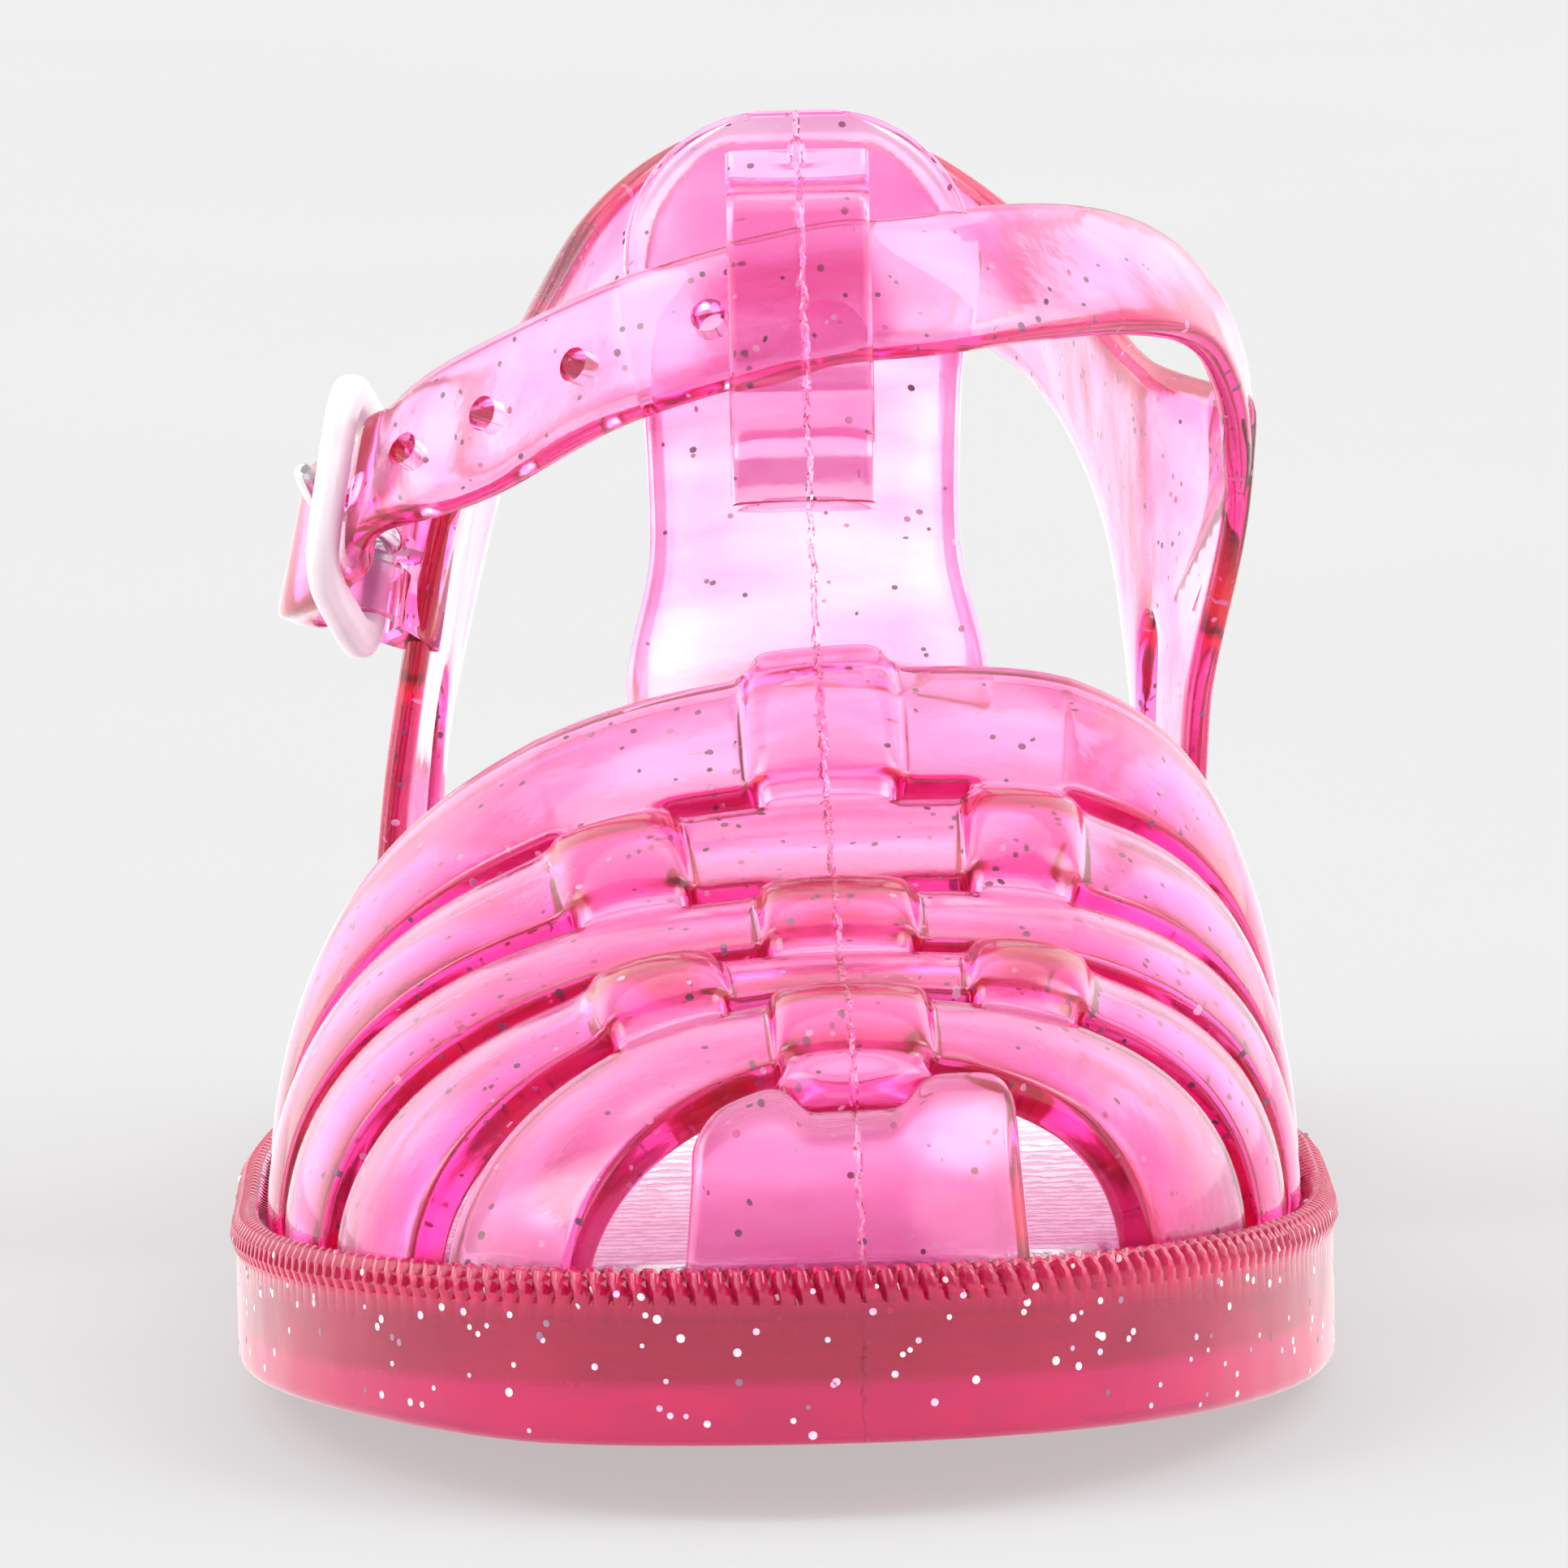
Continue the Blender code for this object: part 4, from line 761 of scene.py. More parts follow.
def make_margin():
    """Ring under the footbed that the feet of all straps grow from."""
    section = ((FOOT_INSET, 0), (FOOT_INSET, MARGIN_THICK), (MARGIN_INNER, MARGIN_THICK), (MARGIN_INNER, 0))
    rings = [level_loop(FINE_MARGIN_STEPS, inset, MARGIN_UP, up) for inset, up in section]
    return sweep("clear_upper", np.stack(rings, axis=1), closed=True)


def cage_point(row, angle):
    """Outer face of the toe cage: angle runs from the outer foot (-90 degrees) over the ridge."""
    ridge_back, ridge_up, outer_foot, inner_foot, ridge_x, outer_power, inner_power = row
    outer_side = angle < 0
    foot = np.where(outer_side, outer_foot, inner_foot)
    foot_x = np.where(outer_side, inset_x(-1, outer_foot, FOOT_INSET), inset_x(1, inner_foot, FOOT_INSET))
    power = np.where(outer_side, outer_power, inner_power)
    base = top_lift(foot) + FOOT_UP
    reach = np.abs(np.sin(angle)) ** (2 / power)
    rise = np.maximum(np.cos(angle), 0) ** (2 / power)
    x = ridge_x + (foot_x - ridge_x) * reach
    back = ridge_back + (foot - ridge_back) * np.abs(np.sin(angle)) ** FOOT_SWEEP
    return place(x, back, base + (ridge_up - base) * rise)


def cage_normal(ridge_back, angle):
    """Outward direction of the cage's face, from points a little way around."""
    turn, run = 0.03, 3.0

    def row_at(back):
        return np.array([np.interp(back, CAGE[:, 0], CAGE[:, k]) for k in range(CAGE.shape[1])])

    inside = np.clip(angle, -math.pi / 2 + turn, math.pi / 2 - turn)
    middle = np.clip(ridge_back, CAGE[0, 0] + run, CAGE[-1, 0] - run)
    across = cage_point(row_at(middle), inside + turn) - cage_point(row_at(middle), inside - turn)
    along = cage_point(row_at(middle + run), inside) - cage_point(row_at(middle - run), inside)
    return unit(np.cross(across, along))


def strip_x(strip, back):
    toe, throat = strip[:2]
    return toe + (throat - toe) * (back - STRIP_TOE_BACK) / (STRIP_THROAT_BACK - STRIP_TOE_BACK)


def cage_angle(row, x):
    """Arch angle at which the cage's outer face passes a given x."""
    _, _, outer_foot, inner_foot, ridge_x, outer_power, inner_power = row
    side, foot, power = (-1, outer_foot, outer_power) if x < ridge_x else (1, inner_foot, inner_power)
    foot_x = inset_x(side, foot, FOOT_INSET)
    return side * math.asin(min(1.0, abs((x - ridge_x) / (foot_x - ridge_x))) ** (power / 2))


def cage_angles(row, arch_steps, strip_steps, space_steps):
    """Arch angles of one grid row, with pairs of close lines at the sides of each strip."""
    marks = []
    for strip in STRIPS:
        middle, half = strip_x(strip, row[0]), strip[2]
        for x in (middle - half - STEP, middle - half, middle + half, middle + half + STEP):
            marks.append(cage_angle(row, x))
    stops = [-math.pi / 2] + marks + [math.pi / 2]
    steps = [arch_steps] + [1, strip_steps, 1, space_steps] * 2 + [1, strip_steps, 1] + [arch_steps]
    angles = [stops[0]]
    for a, b, n in zip(stops, stops[1:], steps):
        angles += list(np.linspace(a, b, n + 1)[1:])
    return np.array(angles)


def cage_columns(arch_steps, strip_steps, space_steps):
    """For each grid column line, the strip it belongs to, or -1."""
    owner = [-1] * (arch_steps + 1)
    for k in range(len(STRIPS)):
        owner += [k] * (strip_steps + 1) + [-1]
        if k < len(STRIPS) - 1:
            owner += [-1] * space_steps
    return np.array(owner + [-1] * arch_steps)


def cage_rows():
    """Grid rows as (kind, number of the strap, place within it)."""
    rows = [("lip", 0, f) for f in LIP_ROWS]
    for k in range(STRAP_COUNT):
        rows += [("strap", k, f) for f in FINE_STATIONS]
        if k < STRAP_COUNT - 1:
            rows += [("gap", k, "near"), ("gap", k, "far")]
    return rows + [("tail", STRAP_COUNT - 1, 1.0)]


def cage_row_values(kind, k, share, trim=1.0):
    """Table row for one grid row."""
    front, rear = CAGE[2 * k], CAGE[2 * k + 1]
    if kind == "strap":
        return front + (rear - front) * share
    if kind == "lip":
        slope = (rear - front) / (rear[0] - front[0])
        drop = np.array((0, LIP_DROP * (1.0 - share), 0, 0, 0, 0, 0))
        return front - slope * LIP_LENGTH * (1.0 - share) * trim - slope * STEP * share - drop
    if kind == "tail":
        return rear + (rear - front) / (rear[0] - front[0]) * TAIL_LENGTH
    after = CAGE[2 * k + 2]
    near = STEP / (after[0] - rear[0])
    return rear + (after - rear) * (near if share == "near" else 1 - near)


def strap_height(share):
    return STRAP_EDGE + (STRAP_CROWN - STRAP_EDGE) * (1 - (2 * share - 1) ** 2)


def cage_height(kind, k, share, owner):
    """Height of the outer face over the inner face for one grid row and one column's strip."""
    over = owner >= 0 and k in STRIPS[owner][3]
    if kind == "strap":
        height = strap_height(share)
        if over:
            end = abs(2 * share - 1) ** STRIP_END_POWER
            height = STRAP_CROWN + STRIP_RAISE + (STRIP_END_RAISE - STRIP_RAISE) * end
        return height
    if kind == "gap":
        if share == "near":
            return BRIDGE_HIGH if over else BRIDGE_LOW
        return BRIDGE_HIGH if owner >= 0 and k + 1 in STRIPS[owner][3] else BRIDGE_LOW
    return STRAP_CROWN


def lip_trim(owner):
    """How far the lip reaches in each column, less at its corners."""
    trim = np.ones(len(owner))
    inside = np.flatnonzero(owner == 1)
    across = np.abs(np.linspace(-1, 1, len(inside)))
    trim[inside] = arc(across, LIP_POWER, LIP_LEAST)
    return trim


def strip_crown(rows, owner):
    """Share of the extra height across each raised strip, for every grid row and column."""
    crown = np.zeros((len(rows), len(owner)))
    for strip, (_, _, _, over) in enumerate(STRIPS):
        inside = np.flatnonzero(owner == strip)
        across = 1 - np.linspace(-1, 1, len(inside)) ** 2
        for number, (kind, k, share) in enumerate(rows):
            if kind == "strap" and k in over:
                crown[number, inside] = across * (1 - abs(2 * share - 1) ** STRIP_END_POWER)
    return crown


def make_cage():
    """Woven toe cage: five straps and three strips as one wall with rounded edges."""
    steps = (FINE_ARCH, FINE_STRIP, FINE_SPACE)
    rows = cage_rows()
    owner = cage_columns(*steps)
    trims = lip_trim(owner)
    face, normal = [], []
    for kind, k, share in rows:
        row = cage_row_values(kind, k, share)
        angles = cage_angles(row, *steps)
        if kind == "lip":
            ends = [cage_row_values(kind, k, share, trim) for trim in trims]
            face.append(np.array([cage_point(end, angle) for end, angle in zip(ends, angles)]))
        else:
            face.append(cage_point(row, angles))
        normal.append(cage_normal(row[0], angles))
    face, normal = np.array(face), np.array(normal)
    height = np.array([[cage_height(kind, k, share, strip) for strip in owner] for kind, k, share in rows])
    height += STRIP_CROWN * strip_crown(rows, owner)
    outer = face + normal * (height - STRAP_CROWN)[..., None]
    hollow = STRIP_HOLLOW * np.maximum(height - STRAP_CROWN, 0.0)
    inner = face + normal * (hollow - CAGE_WALL)[..., None]
    in_strip = (owner[:-1] >= 0) & (owner[:-1] == owner[1:])
    middle = (owner[:-1] == 1) & in_strip
    solid = []
    for (kind, _, _), (next_kind, _, _) in zip(rows, rows[1:]):
        if kind == "strap" and next_kind == "strap":
            solid.append(np.ones(len(owner) - 1, bool))
        elif "lip" in (kind, next_kind) or next_kind == "tail":
            solid.append(middle)
        else:
            solid.append(in_strip)
    return rounded(shell("cage", outer, inner, np.array(solid)))


def tab_top(across):
    """Height of the tab's top edge; across runs from -1 at the outer corner to +1 at the inner one."""
    aside = np.abs(across)
    side = np.where(across < 0, TAB_TOP_OUTER, TAB_TOP_INNER)
    top = TAB_TOP_MIDDLE + (side - TAB_TOP_MIDDLE) * aside ** TAB_TOP_POWER
    corner = np.clip((aside - TAB_CORNER_START) / TAB_CORNER_RUN, 0, 1)
    notch = smooth((TAB_NOTCH_HALF / TAB_HALF + TAB_NOTCH_BLEND / 2 - aside) / TAB_NOTCH_BLEND)
    return top - TAB_CORNER_DROP * corner ** 2 - TAB_NOTCH_DEPTH * notch


def make_tab():
    """Upright tab at the toe that the middle strip laps over."""
    across = np.linspace(-1, 1, FINE_TAB_COLUMNS + 1)
    up_share = np.linspace(0, 1, FINE_TAB_ROWS + 1)[:, None]
    x = TAB_X + across * TAB_HALF
    front = fine_outline(FOOT_INSET)
    front = front[front[:, 1] < LENGTH / 4]
    front = front[np.argsort(front[:, 0])]
    foot_back = np.interp(x, front[:, 0], front[:, 1])
    base = top_lift(foot_back) + FOOT_UP
    up = base + (tab_top(across) - base) * up_share
    back = foot_back + TAB_LEAN * ((up - base) / (TAB_TOP_MIDDLE - base)) ** TAB_LEAN_POWER
    narrow = 1 - TAB_NARROW * up_share
    face = place(TAB_X + (x - TAB_X) * narrow, back, up)
    normal = grid_normals(face)
    normal *= -np.sign(normal[0, FINE_TAB_COLUMNS // 2, 1])
    inner = face - normal * TAB_THICK
    return rounded(shell("tab", face, inner, np.ones((FINE_TAB_ROWS, FINE_TAB_COLUMNS), bool)))


def tongue_frame(up):
    """Middle point of the tongue's plate and its outward normal at given heights."""
    def back_at(height):
        return curve(TONGUE[:, 1], TONGUE[:, 0], height)

    reach = 0.2
    slope = (back_at(up + reach) - back_at(up - reach)) / (2 * reach)
    normal = unit(np.stack([0 * up, -np.ones_like(up), slope], axis=-1))
    return place(TONGUE_X, back_at(up), up), normal


def tongue_half(up):
    """Half width of the tongue, with a round top."""
    body = curve(TONGUE[:, 1], TONGUE[:, 2], np.minimum(up, TONGUE_ROUND_UP))
    turn = np.clip((up - TONGUE_ROUND_UP) / (TONGUE_TOP_UP - TONGUE_ROUND_UP), 0, 1)
    return body * arc(turn, TONGUE_POWER)


def make_tongue():
    """Plate that rises from under the rear strap, curved back at its sides."""
    round_part = np.sin(np.radians(np.linspace(0, TONGUE_TOP_TURN, FINE_TONGUE_TOP_ROWS)))
    up = np.concatenate([
        np.linspace(TONGUE_ROOT_UP, TONGUE_ROUND_UP, FINE_TONGUE_ROWS)[:-1],
        TONGUE_ROUND_UP + (TONGUE_TOP_UP - TONGUE_ROUND_UP) * round_part,
    ])
    middle, normal = tongue_frame(up)
    half = tongue_half(up)
    across = TONGUE_ACROSS
    sag = TONGUE_SAG * (across[None, :] * half[:, None] / TONGUE[:, 2].max()) ** 2
    face = middle[:, None] + ACROSS * (across * half[:, None])[..., None] - normal[:, None] * sag[..., None]
    reach = np.minimum(half[:, None] * (1 - np.abs(across)), (TONGUE_TOP_UP - up)[:, None])
    bead = TONGUE_BEAD * np.clip(1 - reach / TONGUE_BEAD_WIDE, 0, 1)
    root = TONGUE_ROOT_THIN + (1 - TONGUE_ROOT_THIN) * smooth((up - TONGUE_ROOT_UP) / TONGUE_ROOT_RUN)
    thick = ((TONGUE_THICK / 2 + bead) * root[:, None])[..., None]
    outer = face + normal[:, None] * thick
    inner = face - normal[:, None] * thick
    return rounded(shell("tongue", outer, inner, np.ones((len(up) - 1, len(across) - 1), bool)))


def band_section(count):
    """Points around a flat band with soft edges, as shares of its half width and half thickness."""
    turn = around(count)
    return np.column_stack([bulge(np.cos(turn), BAND_EDGE), bulge(np.sin(turn), BAND_EDGE)])


def make_loop():
    """Band on the tongue's face that leaves a tunnel for the ankle strap."""
    at = np.linspace(0, len(LOOP) - 1, FINE_LOOP_STEPS)
    up, rise = (natural(LOOP[:, k], at) for k in range(2))
    sink = natural(np.where(LOOP[:, 1] > LOOP_FREE, 0.0, LOOP_SINK), at)
    middle, normal = tongue_frame(up)
    low = middle + normal * (TONGUE_THICK / 2 + rise - sink)[:, None]
    high = middle + normal * (TONGUE_THICK / 2 + rise + LOOP_THICK)[:, None]
    rings = []
    for wide, thick in band_section(FINE_BAND_SIDES):
        rings.append((low + high) / 2 + ACROSS * LOOP_HALF * wide + (high - low) / 2 * thick)
    return sweep("loop", np.stack(rings, axis=1))


def make_gate_mark():
    """Small stub at the loop's top, left where the plastic came into the mould."""
    share = np.linspace(-GATE_END, GATE_END, FINE_GATE_STEPS)
    middle, normal = tongue_frame(GATE_UP + GATE_HALF * share)
    centre = middle + normal * (TONGUE_THICK / 2 + GATE_OUT)
    radius = (GATE_RADIUS * np.sqrt(1 - share ** 2))[:, None]
    rings = []
    for turn in around(FINE_GATE_SIDES):
        rings.append(centre + radius * (math.cos(turn) * ACROSS + math.sin(turn) * normal))
    return sweep("gate_mark", np.stack(rings, axis=1))


def heel_places():
    """Table places around the heel for each grid column, and which opening each cell belongs to."""
    def row_at(side, back):
        rows = np.flatnonzero(HEEL[:, 0] == side)
        backs = HEEL[rows, 1]
        order = np.argsort(backs)
        return np.interp(back, backs[order], rows[order])

    last = len(HEEL) - 1
    stops = [
        (0.0, FINE_PILLAR_STEPS, ""),
        (row_at(-1, SLOT_OUTER[0]), FINE_SLOT_STEPS, "outer slot"),
        (row_at(-1, SLOT_OUTER[1]), FINE_POST_STEPS, ""),
        (row_at(-1, WINDOW_OUTER_BACK), FINE_WINDOW_STEPS, "window"),
        (row_at(1, WINDOW_INNER_BACK), FINE_POST_STEPS, ""),
        (row_at(1, SLOT_INNER[1]), FINE_SLOT_STEPS, "inner slot"),
        (row_at(1, SLOT_INNER[0]), FINE_PILLAR_STEPS, ""),
        (last, 0, ""),
    ]
    places, cells = [0.0], []
    for (start, count, name), (end, _, _) in zip(stops, stops[1:]):
        places += list(np.linspace(start, end, count + 1)[1:])
        cells += [name] * count
    return np.array(places), cells


def opening_top(places, cells):
    """Height of the line that tops the slots and the window, for every grid column."""
    top = np.full(len(places), np.nan)
    slots = {"outer slot": SLOT_OUTER[2], "inner slot": SLOT_INNER[2]}
    for name in ("outer slot", "window", "inner slot"):
        first = cells.index(name)
        count = cells.count(name)
        share = np.linspace(-1, 1, count + 1)
        if name == "window":
            power = np.where(share < 0, WINDOW_OUTER_POWER, WINDOW_INNER_POWER)
            arch = arc(np.abs(share), power)
            low = CUP_TOP + WINDOW_SIDE
            top[first:first + count + 1] = low + (WINDOW_TOP - low) * arch
        else:
            top[first:first + count + 1] = slots[name] - SLOT_ROUND * share ** 2
    known = ~np.isnan(top)
    return np.interp(places, places[known], top[known])


def heel_wall_point(rows, base, up):
    """Outer face of the heel part for table rows at given heights."""
    _, _, top_x, top_back, top_up, curl, _ = rows.T
    base_x, base_back, base_up = base
    lean = np.clip((up - base_up) / (top_up - base_up), 0, 1) ** curl
    return place(base_x + (top_x - base_x) * lean, base_back + (top_back - base_back) * lean, up)


def make_heel():
    """Heel cup, quarters and collar as one wall with a rear window and two side slots."""
    places, cells = heel_places()
    rows = table(HEEL, places)
    feet = [(inset_x(side, back, FOOT_INSET + inset), back) for side, back, _, _, _, _, inset in HEEL]
    base_x, base_back = table(np.array(feet), places).T
    base_up = top_lift(base_back) + FOOT_UP
    base, top_up = (base_x, base_back, base_up), rows[:, 4]
    cup = np.full(len(places), CUP_TOP)
    arch = opening_top(places, cells)
    levels = []
    bands = ((base_up, cup, FINE_CUP_ROWS), (cup, arch, FINE_OPEN_ROWS), (arch, top_up, FINE_COLLAR_ROWS))
    for start, end, count in bands:
        levels += [start + (end - start) * k / count for k in range(count)]
    levels.append(top_up)
    face = np.array([heel_wall_point(rows, base, up) for up in levels])
    front = smooth((places - QUARTER_PUSH_PLACE) / (len(HEEL) - 1 - QUARTER_PUSH_PLACE))
    high = smooth((face[..., 2] - QUARTER_PUSH_LOW) / (QUARTER_PUSH_HIGH - QUARTER_PUSH_LOW))
    face[..., 0] += QUARTER_PUSH * front * high
    normal = grid_normals(face)
    if normal[0, len(places) // 2, 1] < 0:
        normal = -normal
    inner = face - normal * WALL
    solid = np.ones((len(levels) - 1, len(cells)), bool)
    for j, name in enumerate(cells):
        if name:
            solid[FINE_CUP_ROWS:FINE_CUP_ROWS + FINE_OPEN_ROWS, j] = False
    return rounded(shell("heel", face, inner, solid))


def buckle_axes():
    run, rise = unit(BUCKLE_RUN), unit(BUCKLE_RISE)
    out = -unit(np.cross(run, rise))
    return run, rise, out


def buckle_point(run_by, rise_by, out_by):
    """World point from lengths along the buckle's own axes."""
    run, rise, out = buckle_axes()
    middle = place(BUCKLE_X, BUCKLE_BACK, BUCKLE_UP)
    parts = [np.asarray(v, float)[..., None] for v in (run_by, rise_by, out_by)]
    return middle + parts[0] * run + parts[1] * rise + parts[2] * out


def oval(angle):
    """Middle line of the buckle's ring in its own plane."""
    run = BUCKLE_REACH * bulge(np.cos(angle), 2 / BUCKLE_POWER)
    rise = BUCKLE_HALF_HEIGHT * bulge(np.sin(angle), 2 / BUCKLE_POWER)
    return np.stack([run, rise], axis=-1)


def tube(name, line, side, radii, sides):
    """Round rod along a line of points that stays square to one side direction."""
    along = unit(np.gradient(line, axis=0))
    other = unit(np.cross(along, side))
    turn = around(sides)
    ring = np.cos(turn)[None, :, None] * side + np.sin(turn)[None, :, None] * other[:, None]
    return sweep(name, line[:, None] + ring * np.asarray(radii)[:, None, None])


def strap_frames():
    """Middle points, outward directions and half widths along the ankle strap, a row for each place."""
    x, back, up, azimuth, tilt, half = STRAP.T
    azimuth, tilt = np.radians(azimuth), np.radians(tilt)
    facing = np.column_stack([np.sin(azimuth) * np.cos(tilt), -np.cos(azimuth) * np.cos(tilt), np.sin(tilt)])
    run, rise, out, end_half = STRAP_END.T
    _, rise_way, out_way = buckle_axes()
    turned = smooth((run - run[STRAP_END_TURN_ROW]) / STRAP_END_TURN_RUN)
    turn = np.radians(STRAP_END_TURN) * turned[:, None]
    return np.hstack([
        np.vstack([place(x, back, up), buckle_point(run, rise, out)]),
        np.vstack([facing, np.cos(turn) * out_way + np.sin(turn) * rise_way]),
        np.concatenate([half, end_half])[:, None],
    ])


def strap_at(knots, at):
    """Point, width direction, outward direction and half width at fractional rows."""
    def read(t):
        return np.stack([natural(knots[:, k], t) for k in range(3)], axis=-1)

    reach = 0.02
    point = read(at)
    along = unit(read(at + reach) - read(at - reach))
    facing = unit(np.stack([natural(knots[:, k], at) for k in range(3, 6)], axis=-1))
    wide = unit(np.cross(facing, along))
    return point, wide, unit(np.cross(along, wide)), natural(knots[:, 6], at)


def make_buckle():
    """Oval ring of milky plastic."""
    line = oval(around(FINE_BUCKLE_STEPS))
    outward = beside(line)
    rings = []
    for turn in around(FINE_BAR_SIDES):
        spot = line + outward * BAR_WIDE / 2 * bulge(math.cos(turn), BAR_EDGE)
        rings.append(buckle_point(spot[:, 0], spot[:, 1], BAR_THICK / 2 * bulge(math.sin(turn), BAR_EDGE)))
    buckle = sweep("milky_buckle", np.stack(rings, axis=1), closed=True)
    return smooth_faces(buckle, ROD_SHARP_ANGLE)


def make_prong():
    """Steel prong that hooks round the buckle's rear bar and lies on its front bar."""
    turn = np.radians(np.linspace(PRONG_HOOK_START, PRONG_HOOK_END, FINE_HOOK_STEPS))
    hook_run = BUCKLE_REACH + PRONG_RING * np.cos(turn)
    hook_out = PRONG_RING * np.sin(turn)
    knots = np.column_stack([
        np.concatenate([PRONG[:, 0], hook_run]),
        np.concatenate([PRONG[:, 1], hook_out]),
        np.concatenate([PRONG[:, 2], np.full(len(turn), PRONG_RADIUS)]),
    ])
    at = np.linspace(0, len(knots) - 1, FINE_PRONG_STEPS)
    run, out, radii = (natural(knots[:, k], at) for k in range(3))
    line = buckle_point(run, PRONG_RISE + 0 * run, out)
    prong = tube("steel_prong", line, buckle_axes()[1], radii, FINE_PRONG_SIDES)
    return smooth_faces(prong, ROD_SHARP_ANGLE)


def strap_half(half, at, last):
    """Half width of the ankle strap with its free end rounded off."""
    end = np.clip((at - (last - STRAP_TIP_ROWS)) / STRAP_TIP_ROWS, 0, 1)
    return half * arc(end, STRAP_TIP_POWER, STRAP_TIP_LEAST)


def make_strap():
    """Ankle strap from the inner quarter through the loop and the buckle, with its holes."""
    knots = strap_frames()
    last = len(knots) - 1
    tip = last - FINE_TIP_ROWS * np.linspace(FINE_TIP_START, 0, FINE_TIP_STEPS) ** 2
    at = np.concatenate([np.linspace(0, last - FINE_TIP_ROWS, FINE_STRAP_STEPS), tip])
    point, wide, out, half = strap_at(knots, at)
    half = strap_half(half, at, last)
    lift = STRAP_LOOP_LIFT * np.exp(-((at - STRAP_LOOP_ROW) / STRAP_LOOP_RUN) ** 2)
    middle = point + out * lift[:, None]
    root = STRAP_ROOT_THIN + (1 - STRAP_ROOT_THIN) * smooth(at / STRAP_ROOT_ROWS)
    thickness = STRAP_THICK / 2 * root[:, None]
    rings = []
    for across, thick in band_section(FINE_BAND_SIDES):
        rings.append(middle + wide * (half * across)[:, None] + out * thick * thickness)
    return combine(sweep("ankle_strap", np.stack(rings, axis=1)), make_holes(), "DIFFERENCE")


def make_holes():
    """Cutters for the round holes and for the slot that the prong goes through."""
    knots = strap_frames()
    point, wide, out, _ = strap_at(knots, np.array(HOLE_ROWS))
    turn = around(FINE_HOLE_SIDES)
    points, faces = [], []
    for p, w, o in zip(point, wide, out):
        along = np.cross(w, o)
        start = len(points)
        for depth in (-STRAP_THICK, STRAP_THICK):
            points += [p + HOLE_RADIUS * (math.cos(a) * w + math.sin(a) * along) + depth * o for a in turn]
        faces += prism_faces(start, FINE_HOLE_SIDES)
    start_run, end_run, half = PRONG_HOLE
    first = len(points)
    for out_by in PRONG_HOLE_REACH:
        for run, side in ((start_run, -1), (end_run, -1), (end_run, 1), (start_run, 1)):
            points.append(buckle_point(run, PRONG_RISE + side * half, out_by))
    faces += prism_faces(first, BOX_SIDES)
    return add_mesh("hole_cut", np.array(points), faces)


def buckle_prism(name, profile, low, high):
    """Solid with a profile in the buckle's run and out axes, between two places on its rise."""
    rings = [[buckle_point(run, rise, out) for run, out in profile] for rise in (low, high)]
    return sweep(name, rings)


def circle(radius):
    """Points around the buckle's rear bar."""
    return [(BUCKLE_REACH + radius * math.cos(a), radius * math.sin(a)) for a in around(FINE_KEEPER_SIDES)]


def make_keeper():
    """Tab of the outer quarter that wraps the buckle's rear bar, with room for the bar and the prong."""
    wrap = circle(KEEPER_RADIUS)[KEEPER_FIRST_SIDE:KEEPER_LAST_SIDE + 1]
    end = [(KEEPER_END_RUN, KEEPER_END_OUT + by) for by in (-KEEPER_END_HALF, KEEPER_END_HALF)]
    keeper = buckle_prism("keeper", wrap + end, -KEEPER_HALF, KEEPER_HALF)
    past = KEEPER_HALF + KEEPER_BORE_PAST
    combine(keeper, buckle_prism("bore_cut", circle(KEEPER_BORE), -past, past), "DIFFERENCE")
    near, far, deep = BUCKLE_REACH - KEEPER_SLOT_NEAR, KEEPER_SLOT_END, KEEPER_SLOT_DEEP
    slot = [(near, -deep), (far, -deep), (far, deep), (near, deep)]
    return combine(keeper, buckle_prism("slot_cut", slot, -KEEPER_SLOT_HALF, KEEPER_SLOT_HALF), "DIFFERENCE")


def make_upper():
    """The whole upper as one solid."""
    upper = make_margin()
    pieces = (make_cage, make_tab, make_tongue, make_loop, make_gate_mark, make_heel, make_keeper, make_strap)
    for make in pieces:
        combine(upper, make(), "UNION")
    return smooth_faces(upper, SHARP_ANGLE)


def surface_samples(thing, count, chance):
    """Random places on a piece's faces, in proportion to their area, with the faces' normals."""
    mesh = thing.data
    mesh.calc_loop_triangles()
    corners = np.empty(len(mesh.loop_triangles) * 3, int)
    mesh.loop_triangles.foreach_get("vertices", corners)
    points = np.empty(len(mesh.vertices) * 3)
    mesh.vertices.foreach_get("co", points)
    corner = points.reshape(-1, 3)[corners.reshape(-1, 3)]
    normal = np.cross(corner[:, 1] - corner[:, 0], corner[:, 2] - corner[:, 0])
    area = np.linalg.norm(normal, axis=1)
    pick = chance.choice(len(area), count, p=area / area.sum())
    a, b = chance.random((2, count))
    a, b = np.where(a + b > 1, 1 - a, a), np.where(a + b > 1, 1 - b, b)
    first, second, third = np.moveaxis(corner[pick], 1, 0)
    place_on = first + a[:, None] * (second - first) + b[:, None] * (third - first)
    return place_on / MM, normal[pick] / area[pick, None]


def is_inside(thing, spot, normal):
    """Whether a flake at a spot keeps clear of the piece's faces on both sides."""
    start = Vector(spot * MM)
    for way in (Vector(normal), -Vector(normal)):
        met, _, facing, _ = thing.ray_cast(start, way)
        if not met or facing.dot(way) < 0:
            return False
    _, near, _, _ = thing.closest_point_on_mesh(start)
    return (near - start).length > FLAKE_CLEAR * MM


